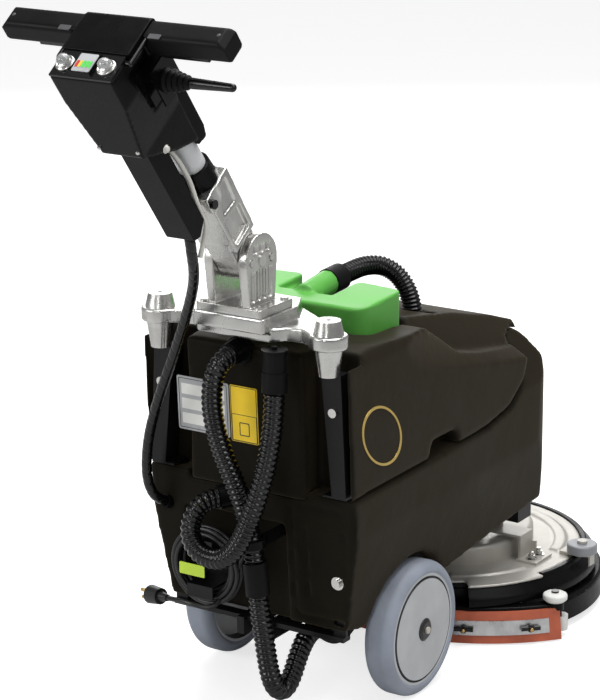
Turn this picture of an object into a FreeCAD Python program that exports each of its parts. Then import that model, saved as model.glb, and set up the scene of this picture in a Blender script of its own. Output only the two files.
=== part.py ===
"""Walk-behind wet dry floor scrubber with a 381 mm disc brush and a swinging squeegee.

The machine is drawn with the wheel axle at y = 0, +Y forward, +X to the operator's right and
z = 0 on the floor, in millimetres. Every piece is moved by AXLE_SHIFT when it is written, so
that the origin lies under the middle of the machine without its hoses and cords.
"""
import FreeCAD, Part
import math
import os

os.makedirs("parts", exist_ok=True)
V = FreeCAD.Vector

# ---- driving dimensions -----------------------------------------------------------------
WHEEL_RADIUS = 101.6
WHEEL_WIDTH = 46.0
WHEEL_OUTER_X = 181.0
TYRE_DEPTH = 18.0
TYRE_SHOULDER = 9.0
AXLE_RADIUS = 8.0
RUNNING_FIT = 0.05
ARCH_CLEARANCE = 10.4
PIECE_GAP = 0.5

BODY_HALF_WIDTH = 175.0
BODY_REAR_Y = -184.0
SEAM_Z = 350.0
SEAM_GAP = 3.0
TANK_FLOOR_Z = 138.0
TANK_TOP_Z = 558.0
TANK_WALL = 6.0
FLANK_FOOT_HALF_WIDTH = 149.0
NOSE_Y = 433.0
NOSE_CORNER = 75.0
NOSE_SHOULDER_Z = 385.0
REAR_CORNER = 16.0
BATTERY_SIZE = (116.0, 190.0, 150.0)
BATTERY_GAP = 3.0
BATTERY_FLOOR_Z = 168.0

UPRIGHT_X = 141.0
UPRIGHT_TOP_SPAN = (125.0, 157.0)
UPRIGHT_FOOT_SPAN = (142.0, 165.0)
UPRIGHT_BOLT = (145.0, 479.0)
STRAP_SPAN = (127.0, 147.0)
UPRIGHT_TOP_Z = 533.0
UPRIGHT_STEEL = 3.0
UPRIGHT_Y = -190.0
UPRIGHT_DEPTH = 26.0
POST_Y = -195.0
POST_RADIUS = 20.0
POST_FOOT_RADIUS = 14.5
YOKE_Z = 572.0
YOKE_THICKNESS = 20.0
YOKE_PAD_HEIGHT = 16.0
YOKE_BOSS_RADIUS = 27.0
CAP_HEIGHT = 20.0
SPIGOT_RADIUS = 12.0

PIVOT_Y = -198.0
PIVOT_Z = 682.0
PIVOT_PIN_RADIUS = 7.0
HANDLE_LEAN = 36.87
EAR_RADIUS = 38.0
EAR_INNER_X = 21.0
EAR_THICKNESS = 14.0
HINGE_PLATE = (108.0, 84.0, 12.0)
TUBE_RADIUS = 19.5
TUBE_WALL = 2.5
ARM_LENGTH = 158.0
ARM_HALF_WIDTH = 29.0
COLLAR_LENGTH = 30.0
HEAD_BOTTOM_S = 225.0
HEAD_TOP_S = 450.0
HEAD_REAR_N = -97.0
HEAD_HALF_WIDTH = 48.0
HEAD_FOOT_HALF_WIDTH = 33.0
GRIP_S = 437.0
GRIP_N = -4.0
GRIP_DEPTH = 34.0
GRIP_HEIGHT = 33.0
GRIP_INNER_X = 52.0
GRIP_OUTER_X = 174.0
BAR_RADIUS = 8.0
BUTTON_RADIUS = 9.0
BUTTON_TRAVEL = 3.0
TRIGGER_TRAVEL = 3.0
LEVER_S = 377.0
LEVER_N = -20.0
LEVER_REACH = 162.0
HEAD_SPLIT_N = 5.0
PANEL_N = -53.0
BUTTON_N = -76.0
BUTTON_XS = (-34.0, 30.0)
TRIGGER_PIN_N = 4.0
TRIGGER_PIN_XS = (76.0, 118.0)
TRIGGER_PIN_RADIUS = 3.0
BAIL_RADIUS = 3.5
BAIL_N = -14.0
BAIL_X = 55.2

DECK_Y = 391.5
BRUSH_RADIUS = 190.5
BRUSH_HEIGHT = 46.0
SHAFT_RADIUS = 12.0
HOUSING_RADIUS = 236.0
HOUSING_BOTTOM_Z = 58.0
PLATE_Z = 84.0
PLATE_THICKNESS = 5.0
PLATE_RADIUS = 224.0
PLATE_FRONT_RADIUS = 210.0
DRUM_RADIUS = 134.0
DRUM_HEIGHT = 30.0
MOTOR_TOP_Z = 149.0
BRACKET_TOP_Z = 130.0
CROSS_BOTTOM_Z = 152.0
LIP_RADIUS = 247.0
RING_TOP_Z = 50.0
RING_INNER = 194.0
RING_OUTER = 200.0
SWING_DEGREES = 28.0
ROLLER_X = 222.0
ROLLER_Y = 424.0
ROLLER_RADIUS = 24.0

BLADE_CENTRE_Y = 490.0
BLADE_RADIUS = 317.0
BLADE_SPREAD = 10.0
BLADE_ANGLE = 52.0
BLADE_BOTTOM_Z = 3.0
BLADE_TOP_Z = 51.0
BLADE_THICKNESS = 4.0
CARRIER_Z = 34.0
END_ARC_RADIUS = 306.0
END_ARC_DEGREES = 51.6
PORT_Y = 183.0
PORT_Z = 86.0

LID_TOP_Z = 596.0
LID_HALF_WIDTH = 114.0
HOSE_OD = 30.0
LOOM_OD = 15.0
CORD_OD = 7.5
WHITE_CABLE_OD = 7.0
COIL_CENTRE = (-68.0, -194.0, 215.0)
COIL_RADIUS = 51.0
COIL_BUNDLE = 14.0
HUB_DEPTH = 5.0
BOSS_X = -12.0
BOSS_Z = 590.0
BOSS_END_Y = 46.0
HOSE_HOLE = (60.0, 170.0, 512.0)

# ---- values that follow from them ---------------------------------------------------------
LEAN = math.radians(HANDLE_LEAN)
REAR_REACH = -PIVOT_Y + (HEAD_TOP_S + 3.0) * math.sin(LEAN) - HEAD_REAR_N * math.cos(LEAN)
FRONT_REACH = DECK_Y + LIP_RADIUS
AXLE_SHIFT = (REAR_REACH - FRONT_REACH) / 2.0
WHEEL_INNER_X = WHEEL_OUTER_X - WHEEL_WIDTH
ARCH_RADIUS = WHEEL_RADIUS + ARCH_CLEARANCE
DRUM_TOP_Z = PLATE_Z + PLATE_THICKNESS + DRUM_HEIGHT
YOKE_TOP_Z = YOKE_Z + YOKE_THICKNESS
PAD_TOP_Z = YOKE_TOP_Z + YOKE_PAD_HEIGHT
SIDES = ((-1.0, "left"), (1.0, "right"))

BAIL_S = GRIP_S + 10.5
DECK = (0.0, DECK_Y)
END_ANGLE = math.radians(END_ARC_DEGREES)
END_X = END_ARC_RADIUS * math.sin(END_ANGLE)
END_Y = BLADE_CENTRE_Y - END_ARC_RADIUS * math.cos(END_ANGLE)

# The seam rises in front so that the lower tank carries the whole nose.
SEAM_CURVE = [(190.0, SEAM_Z + 5.0, 40.0), (268.0, SEAM_Z + 18.0, 50.0), (314.0, SEAM_Z + 48.0, 40.0),
              (334.0, SEAM_Z + 96.0, 0.0)]
NOSE_TOP = (352.0, SEAM_Z + 124.0)

# Middle lines of the hoses and cords, from one end to the other.
LID_HOSE_POINTS = [(BOSS_X + 1.0, BOSS_END_Y + 30.0, BOSS_Z + 2.0), (-8.0, 100.0, 595.0),
                   (0.0, 128.0, 599.0),
                   (16.0, 151.0, 597.0), (34.0, 164.0, 583.0), (49.0, 168.0, 562.0), (58.0, 169.0, 537.0),
                   HOSE_HOLE]

VACUUM_UPPER_POINTS = [(-5.0, -222.0, 546.0), (-6.0, -238.0, 543.0), (-10.0, -251.0, 528.0),
                       (-13.0, -254.0, 504.0),
                       (-14.0, -253.0, 476.0), (-10.0, -251.0, 446.0), (0.0, -250.0, 414.0),
                       (14.0, -249.0, 384.0),
                       (27.0, -246.0, 352.0), (35.0, -241.0, 318.0), (39.0, -236.0, 284.0),
                       (41.0, -233.0, 254.0)]

VACUUM_LOWER_POINTS = [(46.0, -233.0, 206.0), (51.0, -235.0, 180.0), (58.0, -238.0, 150.0),
                       (64.0, -240.0, 120.0),
                       (69.0, -240.0, 94.0), (73.0, -235.0, 74.0), (75.0, -222.0, 62.0),
                       (75.0, -206.0, 62.0),
                       (74.0, -190.0, 74.0), (72.0, -174.0, 92.0), (70.0, -157.0, 108.0),
                       (68.0, -137.0, 118.0),
                       (65.0, -112.0, 118.0), (60.0, -84.0, 106.0), (53.0, -56.0, 88.0),
                       (45.0, -28.0, 74.0),
                       (36.0, 4.0, 68.0), (26.0, 38.0, 68.0), (15.0, 74.0, 74.0), (6.0, 106.0, 81.0),
                       (0.0, 132.0, PORT_Z), (0.0, PORT_Y - 25.0, PORT_Z)]

DRAIN_POINTS = [(-34.0, -214.0, 330.0), (-44.0, -228.0, 328.0), (-52.0, -243.0, 316.0),
                (-54.0, -253.0, 298.0),
                (-49.0, -260.0, 279.0), (-34.0, -265.0, 265.0), (-12.0, -269.0, 260.0),
                (12.0, -272.0, 264.0),
                (32.0, -274.0, 279.0), (48.0, -275.0, 302.0), (60.0, -272.0, 332.0), (68.0, -263.0, 364.0),
                (73.0, -252.0, 398.0), (76.0, -243.0, 434.0), (77.0, -235.0, 472.0), (75.0, -230.0, 508.0)]

LOOM_POINTS = [(6.0, -327.0, 738.0), (6.0, -322.0, 712.0), (-2.0, -306.0, 684.0), (-20.0, -285.0, 652.0),
               (-42.0, -268.0, 614.0), (-62.0, -257.0, 576.0), (-83.0, -247.0, 537.0),
               (-104.0, -240.0, 497.0),
               (-124.0, -233.0, 456.0), (-142.0, -226.0, 414.0), (-153.0, -220.0, 374.0),
               (-157.0, -215.0, 338.0),
               (-154.0, -207.0, 312.0), (-149.0, -192.0, 298.0), (-146.0, -176.0, 292.0)]

WHITE_CABLE_POINTS = [(12.0, -383.2, 870.6), (15.0, -366.8, 855.4), (17.0, -352.2, 835.1),
                      (16.0, -336.8, 815.4), (18.0, -328.4, 791.2), (17.0, -316.4, 771.9),
                      (20.0, -305.0, 754.4), (12.0, -303.0, 728.0), (8.0, -306.0, 706.0)]

CORD_IN_POINTS = [(18.0, -160.0, 262.0), (17.0, -172.0, 262.0), (11.0, -184.0, 259.0),
                  (0.0, -191.0, 250.0), (-9.0, -194.0, 236.0)]

CORD_OUT_POINTS = [(-42.0, -204.0, 164.0), (-55.0, -216.0, 158.0), (-75.0, -222.0, 162.0),
                   (-95.0, -221.0, 163.0),
                   (-112.0, -217.0, 160.0), (-126.0, -213.0, 158.0)]

X = V(1, 0, 0)
Y = V(0, 1, 0)
Z = V(0, 0, 1)
ORIGIN = V(0, 0, 0)


# ---- building blocks ----------------------------------------------------------------------
def box(x0, x1, y0, y1, z0, z1):
    """Block between two corners, given as low and high values on each axis."""
    low = V(min(x0, x1), min(y0, y1), min(z0, z1))
    return Part.makeBox(abs(x1 - x0), abs(y1 - y0), abs(z1 - z0), low)


def rod(radius, start, end):
    """Round bar from one point to another."""
    along = end - start
    return Part.makeCylinder(radius, along.Length, start, along)


def cone(radius_start, radius_end, start, end):
    """Round bar that tapers from one point to another."""
    along = end - start
    return Part.makeCone(radius_start, radius_end, along.Length, start, along)


def fuse(shapes):
    """One solid from several that touch."""
    whole = shapes[0]
    if len(shapes) > 1:
        whole = whole.multiFuse(shapes[1:])
    return whole.removeSplitter()


def corner(before, point, after, radius):
    """Start, middle and end of the arc that rounds one corner of an outline."""
    back = (before - point).normalize()
    ahead = (after - point).normalize()
    half = back.getAngle(ahead) / 2.0
    start = point + back * (radius / math.tan(half))
    end = point + ahead * (radius / math.tan(half))
    centre = point + (back + ahead).normalize() * (radius / math.sin(half))
    middle = centre + (point - centre).normalize() * radius
    return start, middle, end


def outline(points, place):
    """Closed face through points (a, b, corner radius), laid out in space by place(a, b)."""
    spots = [place(p[0], p[1]) for p in points]
    count = len(points)
    edges = []
    first = None
    last = None
    for i, p in enumerate(points):
        radius = p[2] if len(p) > 2 else 0.0
        if radius > 0:
            start, middle, end = corner(spots[i - 1], spots[i], spots[(i + 1) % count], radius)
        else:
            start = middle = end = spots[i]
        if last is None:
            first = start
        elif (start - last).Length > 1e-6:
            edges.append(Part.LineSegment(last, start).toShape())
        if radius > 0:
            edges.append(Part.Arc(start, middle, end).toShape())
        last = end
    if (first - last).Length > 1e-6:
        edges.append(Part.LineSegment(last, first).toShape())
    return Part.Face(Part.Wire(edges))


def side_prism(points, x0, x1):
    """Outline in the y-z plane, drawn out along X."""
    return outline(points, lambda a, b: V(x0, a, b)).extrude(V(x1 - x0, 0, 0))


def plan_prism(points, z0, z1):
    """Outline in the x-y plane, drawn out along Z."""
    return outline(points, lambda a, b: V(a, b, z0)).extrude(V(0, 0, z1 - z0))


def front_prism(points, y0, y1):
    """Outline in the x-z plane, drawn out along Y."""
    return outline(points, lambda a, b: V(a, y0, b)).extrude(V(0, y1 - y0, 0))


def spun(points, centre, start=0.0, angle=360.0):
    """Outline of (radius, z) turned about a vertical axis, from an angle off +X."""
    at = V(centre[0], centre[1], 0)
    face = outline(points, lambda a, b: at + V(a, 0, b))
    face.rotate(at, Z, start)
    return face.revolve(at, Z, angle)


def spun_about_x(points, x_side):
    """Outline of (x, radius) turned about the wheel axle, on one side of the machine."""
    face = outline(points, lambda a, b: V(x_side * a, 0, WHEEL_RADIUS + b))
    return face.revolve(V(0, 0, WHEEL_RADIUS), X, 360)


def mirrored(shape):
    """The same piece on the other side of the machine."""
    return shape.mirror(ORIGIN, X)


def both(shape):
    """The piece and its mirror image."""
    return [shape, mirrored(shape)]


def to_handle(shape):
    """Piece drawn as x, n (up and forward), s (along the tube), moved onto the leaning handle."""
    placed = shape.copy()
    placed.rotate(ORIGIN, X, HANDLE_LEAN)
    placed.translate(V(0, PIVOT_Y, PIVOT_Z))
    return placed


def keep_out(shape, *others):
    """What is left of a piece where others take room."""
    for other in others:
        shape = shape.cut(other)
    return shape


def cord_tube(points, radius, label):
    """Tube along straight runs joined by tangent arcs, each arc as large as its runs allow."""
    spots = [V(*p) for p in points]
    edges = []
    radii = []
    last = spots[0]
    for before, point, after in zip(spots, spots[1:], spots[2:]):
        run = min((point - before).Length, (after - point).Length)
        turn = (point - before).getAngle(after - point)
        bend = 0.45 * run / math.tan(turn / 2.0)
        start, middle, end = corner(before, point, after, bend)
        edges.append(Part.LineSegment(last, start).toShape())
        edges.append(Part.Arc(start, middle, end).toShape())
        radii.append(round(bend))
        last = end
    edges.append(Part.LineSegment(last, spots[-1]).toShape())
    length = sum(edge.Length for edge in edges)
    path = Part.Wire(edges)
    ring = Part.Wire([Part.Circle(spots[0], spots[1] - spots[0], radius).toShape()])
    tube = path.makePipeShell([ring], True, False)
    ideal = math.pi * radius ** 2 * length
    print(label, "length", round(length), "radii", radii, "volume ratio", round(tube.Volume / ideal, 4))
    return tube


# ---- tanks --------------------------------------------------------------------------------

def body_plan(front_y):
    """Plan of both tanks: square corners behind, large round ones in front."""
    half = BODY_HALF_WIDTH
    rear = BODY_REAR_Y - 16.0
    points = [(-half, rear, REAR_CORNER), (half, rear, REAR_CORNER),
              (half, front_y - 40.0, NOSE_CORNER), (half - 62.0, front_y + 2.0, 90.0),
              (62.0 - half, front_y + 2.0, 90.0), (-half, front_y - 40.0, NOSE_CORNER)]
    return plan_prism(points, 0, TANK_TOP_Z + 60.0)


def flank():
    """End view of both tanks: walls draw in towards the floor and lean in a little above."""
    half = BODY_HALF_WIDTH
    foot = FLANK_FOOT_HALF_WIDTH
    points = [(-foot, TANK_FLOOR_Z), (foot, TANK_FLOOR_Z), (half, 290.0, 90.0),
              (half - 3.0, TANK_TOP_Z + 4.0, 26.0), (3.0 - half, TANK_TOP_Z + 4.0, 26.0),
              (-half, 290.0, 90.0)]
    return front_prism(points, BODY_REAR_Y - 40.0, NOSE_Y + 40.0)


def solution_side():
    """Side view of the lower tank."""
    rear = BODY_REAR_Y
    return [(rear, SEAM_Z), (rear + 16.0, TANK_FLOOR_Z + 9.0), (-121.0, TANK_FLOOR_Z), (70.0, TANK_FLOOR_Z),
            (99.0, TANK_FLOOR_Z + 15.0, 8.0), (382.0, 181.0, 20.0), (407.0, 183.0, 6.0),
            (427.0, 262.0, 50.0), (NOSE_Y + 1.0, 340.0, 60.0), (418.0, 400.0, 50.0),
            (390.0, 452.0, 40.0), NOSE_TOP] + list(reversed(SEAM_CURVE))


def recovery_side():
    """Side view of the upper tank without its raised middle."""
    rear = BODY_REAR_Y
    gap = SEAM_GAP
    lower = [(p[0] - 0.6 * gap, p[1] + 0.8 * gap, p[2]) for p in SEAM_CURVE]
    return [(rear - 2.0, SEAM_Z + gap), (rear - 12.0, TANK_TOP_Z - 4.0, 8.0), (-120.0, TANK_TOP_Z),
            (30.0, TANK_TOP_Z - 8.0, 40.0), (84.0, TANK_TOP_Z - 36.0, 60.0), (132.0, 488.0, 40.0),
            (200.0, 471.0, 90.0), (314.0, 450.0)] + list(reversed(lower))


def spine_side():
    """Side view of the raised middle of the upper tank, whose tongue lies on the nose."""
    return [(0.0, 470.0), (0.0, TANK_TOP_Z - 6.0), (60.0, 550.0, 60.0), (210.0, 522.0, 60.0),
            (330.0, 490.0, 60.0), (388.0, 470.0, 5.0), (386.0, 446.0), (300.0, 440.0)]


def spine_section():
    """Sloping sides of the raised middle, which falls towards the front."""
    points = [(-142.0, 440.0), (142.0, 440.0), (136.0, 505.0, 20.0), (98.0, 572.0, 22.0),
              (-98.0, 572.0, 22.0), (-136.0, 505.0, 20.0)]
    return outline(points, lambda a, b: V(a, 0, b)).extrude(V(0, 400.0, -80.0))


def shoulder():
    """Room above the shelf: the flank leans in more and more towards the front."""
    half = BODY_HALF_WIDTH
    rear = [V(half + 0.5, -60.0, 494.0), V(half + 30.0, -60.0, 494.0), V(half + 30.0, -60.0, 640.0),
            V(half - 1.0, -60.0, 640.0), V(half - 0.5, -60.0, 560.0)]
    front = [V(half + 0.5, 350.0, 428.0), V(half + 30.0, 350.0, 428.0), V(half + 30.0, 350.0, 640.0),
             V(half - 61.0, 350.0, 640.0), V(half - 60.0, 350.0, 454.0)]
    wires = [Part.makePolygon(points + points[:1]) for points in (rear, front)]
    return Part.makeLoft(wires, True, True)


def nose_section():
    """End view of the nose, whose shoulders fall away to both sides."""
    points = [(-200.0, 100.0), (200.0, 100.0), (200.0, NOSE_SHOULDER_Z - 50.0),
              (176.0, NOSE_SHOULDER_Z, 40.0),
              (116.0, 464.0, 50.0), (60.0, 484.0, 60.0), (-60.0, 484.0, 60.0), (-116.0, 464.0, 50.0),
              (-176.0, NOSE_SHOULDER_Z, 40.0), (-200.0, NOSE_SHOULDER_Z - 50.0)]
    return front_prism(points, 150.0, NOSE_Y + 40.0)


def lower_shape():
    """Lower tank before anything is cut from it."""
    body = side_prism(solution_side(), -200.0, 200.0).common(body_plan(NOSE_Y)).common(flank())
    behind = box(-200.0, 200.0, BODY_REAR_Y - 30.0, 150.0, 100.0, 500.0)
    return body.common(fuse([behind, nose_section()]))


def wheel_arches():
    """Room for the wheels, cut from both sides."""
    inner = WHEEL_INNER_X - 5.0
    arch = rod(ARCH_RADIUS, V(inner, 0, WHEEL_RADIUS), V(BODY_HALF_WIDTH + 20.0, 0, WHEEL_RADIUS))
    return fuse([arch, box(inner, BODY_HALF_WIDTH + 20.0, -ARCH_RADIUS, ARCH_RADIUS, 0, WHEEL_RADIUS)])


def battery_well():
    """Open well in the lower tank that the two batteries stand in."""
    half = BATTERY_SIZE[0] + BATTERY_GAP * 1.5
    length = BATTERY_SIZE[1]
    return box(-half, half, -105.0 - BATTERY_GAP, -105.0 + length + BATTERY_GAP, BATTERY_FLOOR_Z, 420.0)


def upright_slot(side):
    """Slot behind the rear skin that a frame upright passes down through."""
    return box(side * (STRAP_SPAN[0] - 1.0), side * (STRAP_SPAN[1] + 1.0), -164.0, -150.0, 120.0,
               SEAM_Z + 20.0)


def panel_groove():
    """Soft groove round the raised panel on the lower tank's back, and an upright one inside it."""
    rim = front_prism([(64.0, 156.0, 16.0), (158.0, 156.0, 16.0), (158.0, 336.0, 16.0),
                       (64.0, 336.0, 16.0)],
                      -230.0, -150.0)
    field = front_prism([(71.0, 163.0, 10.0), (153.5, 163.0, 10.0), (153.5, 329.0, 10.0),
                         (71.0, 329.0, 10.0)], -230.0, -150.0)
    stripe = front_prism([(86.0, 192.0, 3.5), (94.0, 192.0, 3.5), (94.0, 300.0, 3.5), (86.0, 300.0, 3.5)],
                         -230.0, -150.0)
    skin = side_prism([(-230.0, 120.0), (-230.0, 360.0), (BODY_REAR_Y + 4.5, SEAM_Z),
                       (BODY_REAR_Y + 20.5, TANK_FLOOR_Z + 9.0), (BODY_REAR_Y + 20.5, 120.0)], 50.0, 170.0)
    return fuse([keep_out(rim, field).common(skin), stripe.common(skin)])


def motor_well():
    """Pocket in the nose for the vacuum motor, open to the seam."""
    return rod(68.0, V(0, 235.0, 205.0), V(0, 235.0, 420.0))


def solution_tank():
    body = lower_shape()
    cord_recess = side_prism([(-220.0, 120.0), (-158.0, 120.0), (-158.0, 292.0, 10.0), (-220.0, 306.0)],
                             -115.0, 56.0)
    notch = box(-105.0, 95.0, BODY_REAR_Y - 20.0, -150.0, SEAM_Z - 11.0, SEAM_Z + 20.0)
    body = keep_out(body, wheel_arches(), mirrored(wheel_arches()), battery_well(), motor_well(),
                    cord_recess, notch, upright_slot(-1.0), upright_slot(1.0), loom_socket_bore(),
                    panel_bolt_seat(), panel_groove())
    return body


def panel_bolt_seat():
    """Round seat for the bolt in the rear panel."""
    return rod(11.0, V(140.0, -200.0, 222.0), V(140.0, -170.0, 222.0))


def panel_bolt():
    washer = rod(10.0, V(140.0, -170.0, 222.0), V(140.0, -173.0, 222.0))
    head = rod(6.5, V(140.0, -173.0, 222.0), V(140.0, -178.0, 222.0))
    return fuse([washer, head])


def rear_relief(side):
    """Upright channel between the middle of the upper tank's back and its outer column."""
    return box(side * 98.0, side * 168.0, -230.0, -154.0, SEAM_Z - 20.0, TANK_TOP_Z + 20.0)


def hand_recess(side):
    """Finger recess over the seam, for lifting the upper tank off."""
    points = [(22.0, SEAM_Z), (35.0, SEAM_Z + 30.0, 8.0), (101.0, SEAM_Z + 30.0, 8.0), (115.0, SEAM_Z)]
    return side_prism(points, side * 146.0, side * 190.0)


def lid_opening():
    """Mouth of the upper tank, inside the rim that the lid sits on."""
    return box(-88.0, 88.0, -52.0, 36.0, 500.0, 620.0)


def recovery_hollow():
    """Water space of the upper tank."""
    wall = TANK_WALL
    half = BODY_HALF_WIDTH - 12.0
    rear = [(-150.0, SEAM_Z + 3.0 * wall), (-150.0, TANK_TOP_Z - 2.0 * wall),
            (30.0, TANK_TOP_Z - 3.5 * wall),
            (128.0, 470.0), (270.0, 440.0), (236.0, SEAM_Z + 5.0 * wall), (120.0, SEAM_Z + 3.0 * wall)]
    plan = plan_prism([(-half, -160.0), (half, -160.0), (half, -40.0), (138.0, 60.0), (128.0, 300.0),
                       (-128.0, 300.0), (-138.0, 60.0), (-half, -40.0)], 300.0, 600.0)
    body = side_prism(rear, -half, half).common(plan)
    finger_room = fuse([box(140.0, 180.0, 14.0, 123.0, SEAM_Z, SEAM_Z + 38.0),
                        box(-180.0, -140.0, 14.0, 123.0, SEAM_Z, SEAM_Z + 38.0)])
    return keep_out(body, finger_room)


def recovery_tank():
    body = side_prism(recovery_side(), -200.0, 200.0)
    tongue = side_prism(spine_side(), -160.0, 160.0).common(spine_section())
    panel = box(-104.0, 94.0, BODY_REAR_Y - 5.0, -152.0, SEAM_Z - 10.0, SEAM_Z + 40.0)
    body = keep_out(body.common(body_plan(NOSE_Y)).common(flank()), shoulder(), mirrored(shoulder()))
    whole = fuse([body, tongue, panel])
    nose = lower_shape()
    nose.translate(V(0, 0, 1.5))
    front = box(-200.0, 200.0, 200.0, 460.0, 340.0, 520.0)
    duct = rod(HOSE_OD / 2.0 + 2.0, V(HOSE_HOLE[0], HOSE_HOLE[1], 480.0),
               V(HOSE_HOLE[0], HOSE_HOLE[1], 620.0))
    pocket = fuse([duct, box(HOSE_HOLE[0], HOSE_HOLE[0] + 34.0, HOSE_HOLE[1] - 12.0,
                             HOSE_HOLE[1] + 12.0, 505.0, 620.0)])
    well = plan_prism([(-118.0, -66.0, 20.0), (118.0, -66.0, 20.0), (118.0, 62.0, 24.0),
                       (-118.0, 62.0, 24.0)],
                      TANK_TOP_Z - 24.0, TANK_TOP_Z + 20.0)
    whole = keep_out(whole, nose.common(front), rear_relief(-1.0), rear_relief(1.0), hand_recess(-1.0),
                     hand_recess(1.0), recovery_hollow(), lid_opening(), well, pocket)
    return whole


def batteries():
    """Two sealed 12 volt blocks with their terminals."""
    width, length, height = BATTERY_SIZE
    blocks = []
    for side in (-1.0, 1.0):
        x = side * (width + BATTERY_GAP) / 2.0
        case = box(x - width / 2, x + width / 2, -105.0, -105.0 + length, BATTERY_FLOOR_Z,
                   BATTERY_FLOOR_Z + height)
        posts = [rod(7.0, V(x + dx, -85.0, BATTERY_FLOOR_Z + height),
                     V(x + dx, -85.0, BATTERY_FLOOR_Z + height + 9))
                 for dx in (-38.0, 38.0)]
        blocks.append(fuse([case] + posts))
    return blocks


def vacuum_motor():
    """Fan housing and motor can in the nose pocket."""
    fan = rod(66.0, V(0, 235.0, 205.0), V(0, 235.0, 262.0))
    can = rod(44.0, V(0, 235.0, 262.0), V(0, 235.0, 335.0))
    return fuse([fan, can])


# ---- frame, uprights and yoke -----------------------------------------------------------------
def base_frame():
    """Two beams under the tanks with axle tabs, a rear cross plate and a front cross member."""
    pieces = []
    for side in (-1.0, 1.0):
        beam = side_prism([(-176.0, 112.0), (40.0, 112.0), (346.0, 150.0), (395.0, 150.0), (395.0, 174.0),
                           (346.0, 174.0), (90.0, TANK_FLOOR_Z), (-176.0, TANK_FLOOR_Z)], side * 18.0,
                           side * 30.0)
        tab = box(side * 18.0, side * 30.0, -20.0, 20.0, 84.0, 112.0)
        pieces += [beam, tab]
    pieces.append(box(-STRAP_SPAN[1], STRAP_SPAN[1], -168.0, -150.0, TANK_FLOOR_Z - 7.0,
                      TANK_FLOOR_Z))
    pieces.append(box(-146.0, 146.0, 350.0, 392.0, CROSS_BOTTOM_Z, CROSS_BOTTOM_Z + 22.0))
    frame = fuse(pieces)
    bore = rod(AXLE_RADIUS + RUNNING_FIT, V(-60, 0, WHEEL_RADIUS), V(60, 0, WHEEL_RADIUS))
    return keep_out(frame, bore)


def wheel_axle():
    """Axle with a clamp collar outside each frame beam and a turned end for each hub."""
    bar = rod(AXLE_RADIUS, V(-WHEEL_OUTER_X + 10.0, 0, WHEEL_RADIUS),
              V(WHEEL_OUTER_X - 10.0, 0, WHEEL_RADIUS))
    collars = [rod(14.0, V(s * 31.0, 0, WHEEL_RADIUS), V(s * 41.0, 0, WHEEL_RADIUS)) for s in (-1.0, 1.0)]
    stops = [rod(13.0, V(s * (WHEEL_INNER_X - 8.0), 0, WHEEL_RADIUS),
                 V(s * (WHEEL_INNER_X - 2.0), 0, WHEEL_RADIUS))
             for s in (-1.0, 1.0)]
    return fuse([bar] + collars + stops)


def upright(side):
    """Folded steel channel that leans in behind the tank corner, over a strap down to the frame."""
    steel = UPRIGHT_STEEL
    low = SEAM_Z + 4.0
    top = UPRIGHT_TOP_Z
    front = UPRIGHT_Y + UPRIGHT_DEPTH
    foot_in, foot_out = [side * x for x in UPRIGHT_FOOT_SPAN]
    top_in, top_out = [side * x for x in UPRIGHT_TOP_SPAN]
    wall = side * steel
    profile = side_prism([(UPRIGHT_Y, low), (front, low), (UPRIGHT_Y + 22.0, top), (UPRIGHT_Y, top)],
                         side * 100.0, side * 180.0)
    skin = front_prism([(foot_in, low), (foot_out, low), (top_out, top), (top_in, top)], -230.0, -100.0)
    room = front_prism([(foot_in + wall, low - 1.0), (foot_out - wall, low - 1.0),
                        (top_out - wall, top - steel), (top_in + wall, top - steel)],
                       UPRIGHT_Y + steel, -100.0)
    channel = keep_out(profile.common(skin), room)
    shelf = box(side * STRAP_SPAN[0], foot_out, UPRIGHT_Y, -162.0 + 2.0 * steel, low, low + steel)
    strap = box(side * STRAP_SPAN[0], side * STRAP_SPAN[1], -162.0, -162.0 + 2.0 * steel, TANK_FLOOR_Z,
                low + steel)
    x = side * UPRIGHT_BOLT[0]
    z = UPRIGHT_BOLT[1]
    hole = rod(3.0 + RUNNING_FIT, V(x, UPRIGHT_Y - 5.0, z), V(x, UPRIGHT_Y + 8.0, z))
    return keep_out(fuse([channel, shelf, strap]), hole)


def upright_bolts():
    """Domed bolt in each upright."""
    bolts = []
    for side, _ in SIDES:
        x = side * UPRIGHT_BOLT[0]
        z = UPRIGHT_BOLT[1]
        head = rod(6.5, V(x, UPRIGHT_Y - 4.0, z), V(x, UPRIGHT_Y, z))
        shank = rod(3.0, V(x, UPRIGHT_Y, z), V(x, UPRIGHT_Y + 6.0, z))
        bolts.append(fuse([head, shank]))
    return bolts


def posts():
    """Tapered aluminium posts from the uprights to the yoke, with a spigot through each boss."""
    made = []
    for side, _ in SIDES:
        x = side * UPRIGHT_X
        taper = cone(POST_FOOT_RADIUS, POST_RADIUS, V(x, POST_Y, UPRIGHT_TOP_Z), V(x, POST_Y, YOKE_Z))
        spigot = rod(SPIGOT_RADIUS, V(x, POST_Y, YOKE_Z), V(x, POST_Y, YOKE_TOP_Z))
        made.append(fuse([taper, spigot]))
    return made


def post_caps():
    """Tapered caps that clamp the yoke to the posts, each with a socket in its top."""
    made = []
    for side, _ in SIDES:
        x = side * UPRIGHT_X
        cap = cone(POST_RADIUS + 1.5, POST_RADIUS - 3.0, V(x, POST_Y, YOKE_TOP_Z),
                   V(x, POST_Y, YOKE_TOP_Z + CAP_HEIGHT))
        socket = rod(3.5, V(x, POST_Y, YOKE_TOP_Z + CAP_HEIGHT - 8.0),
                     V(x, POST_Y, YOKE_TOP_Z + CAP_HEIGHT + 1.0))
        made.append(keep_out(cap, socket))
    return made


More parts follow.
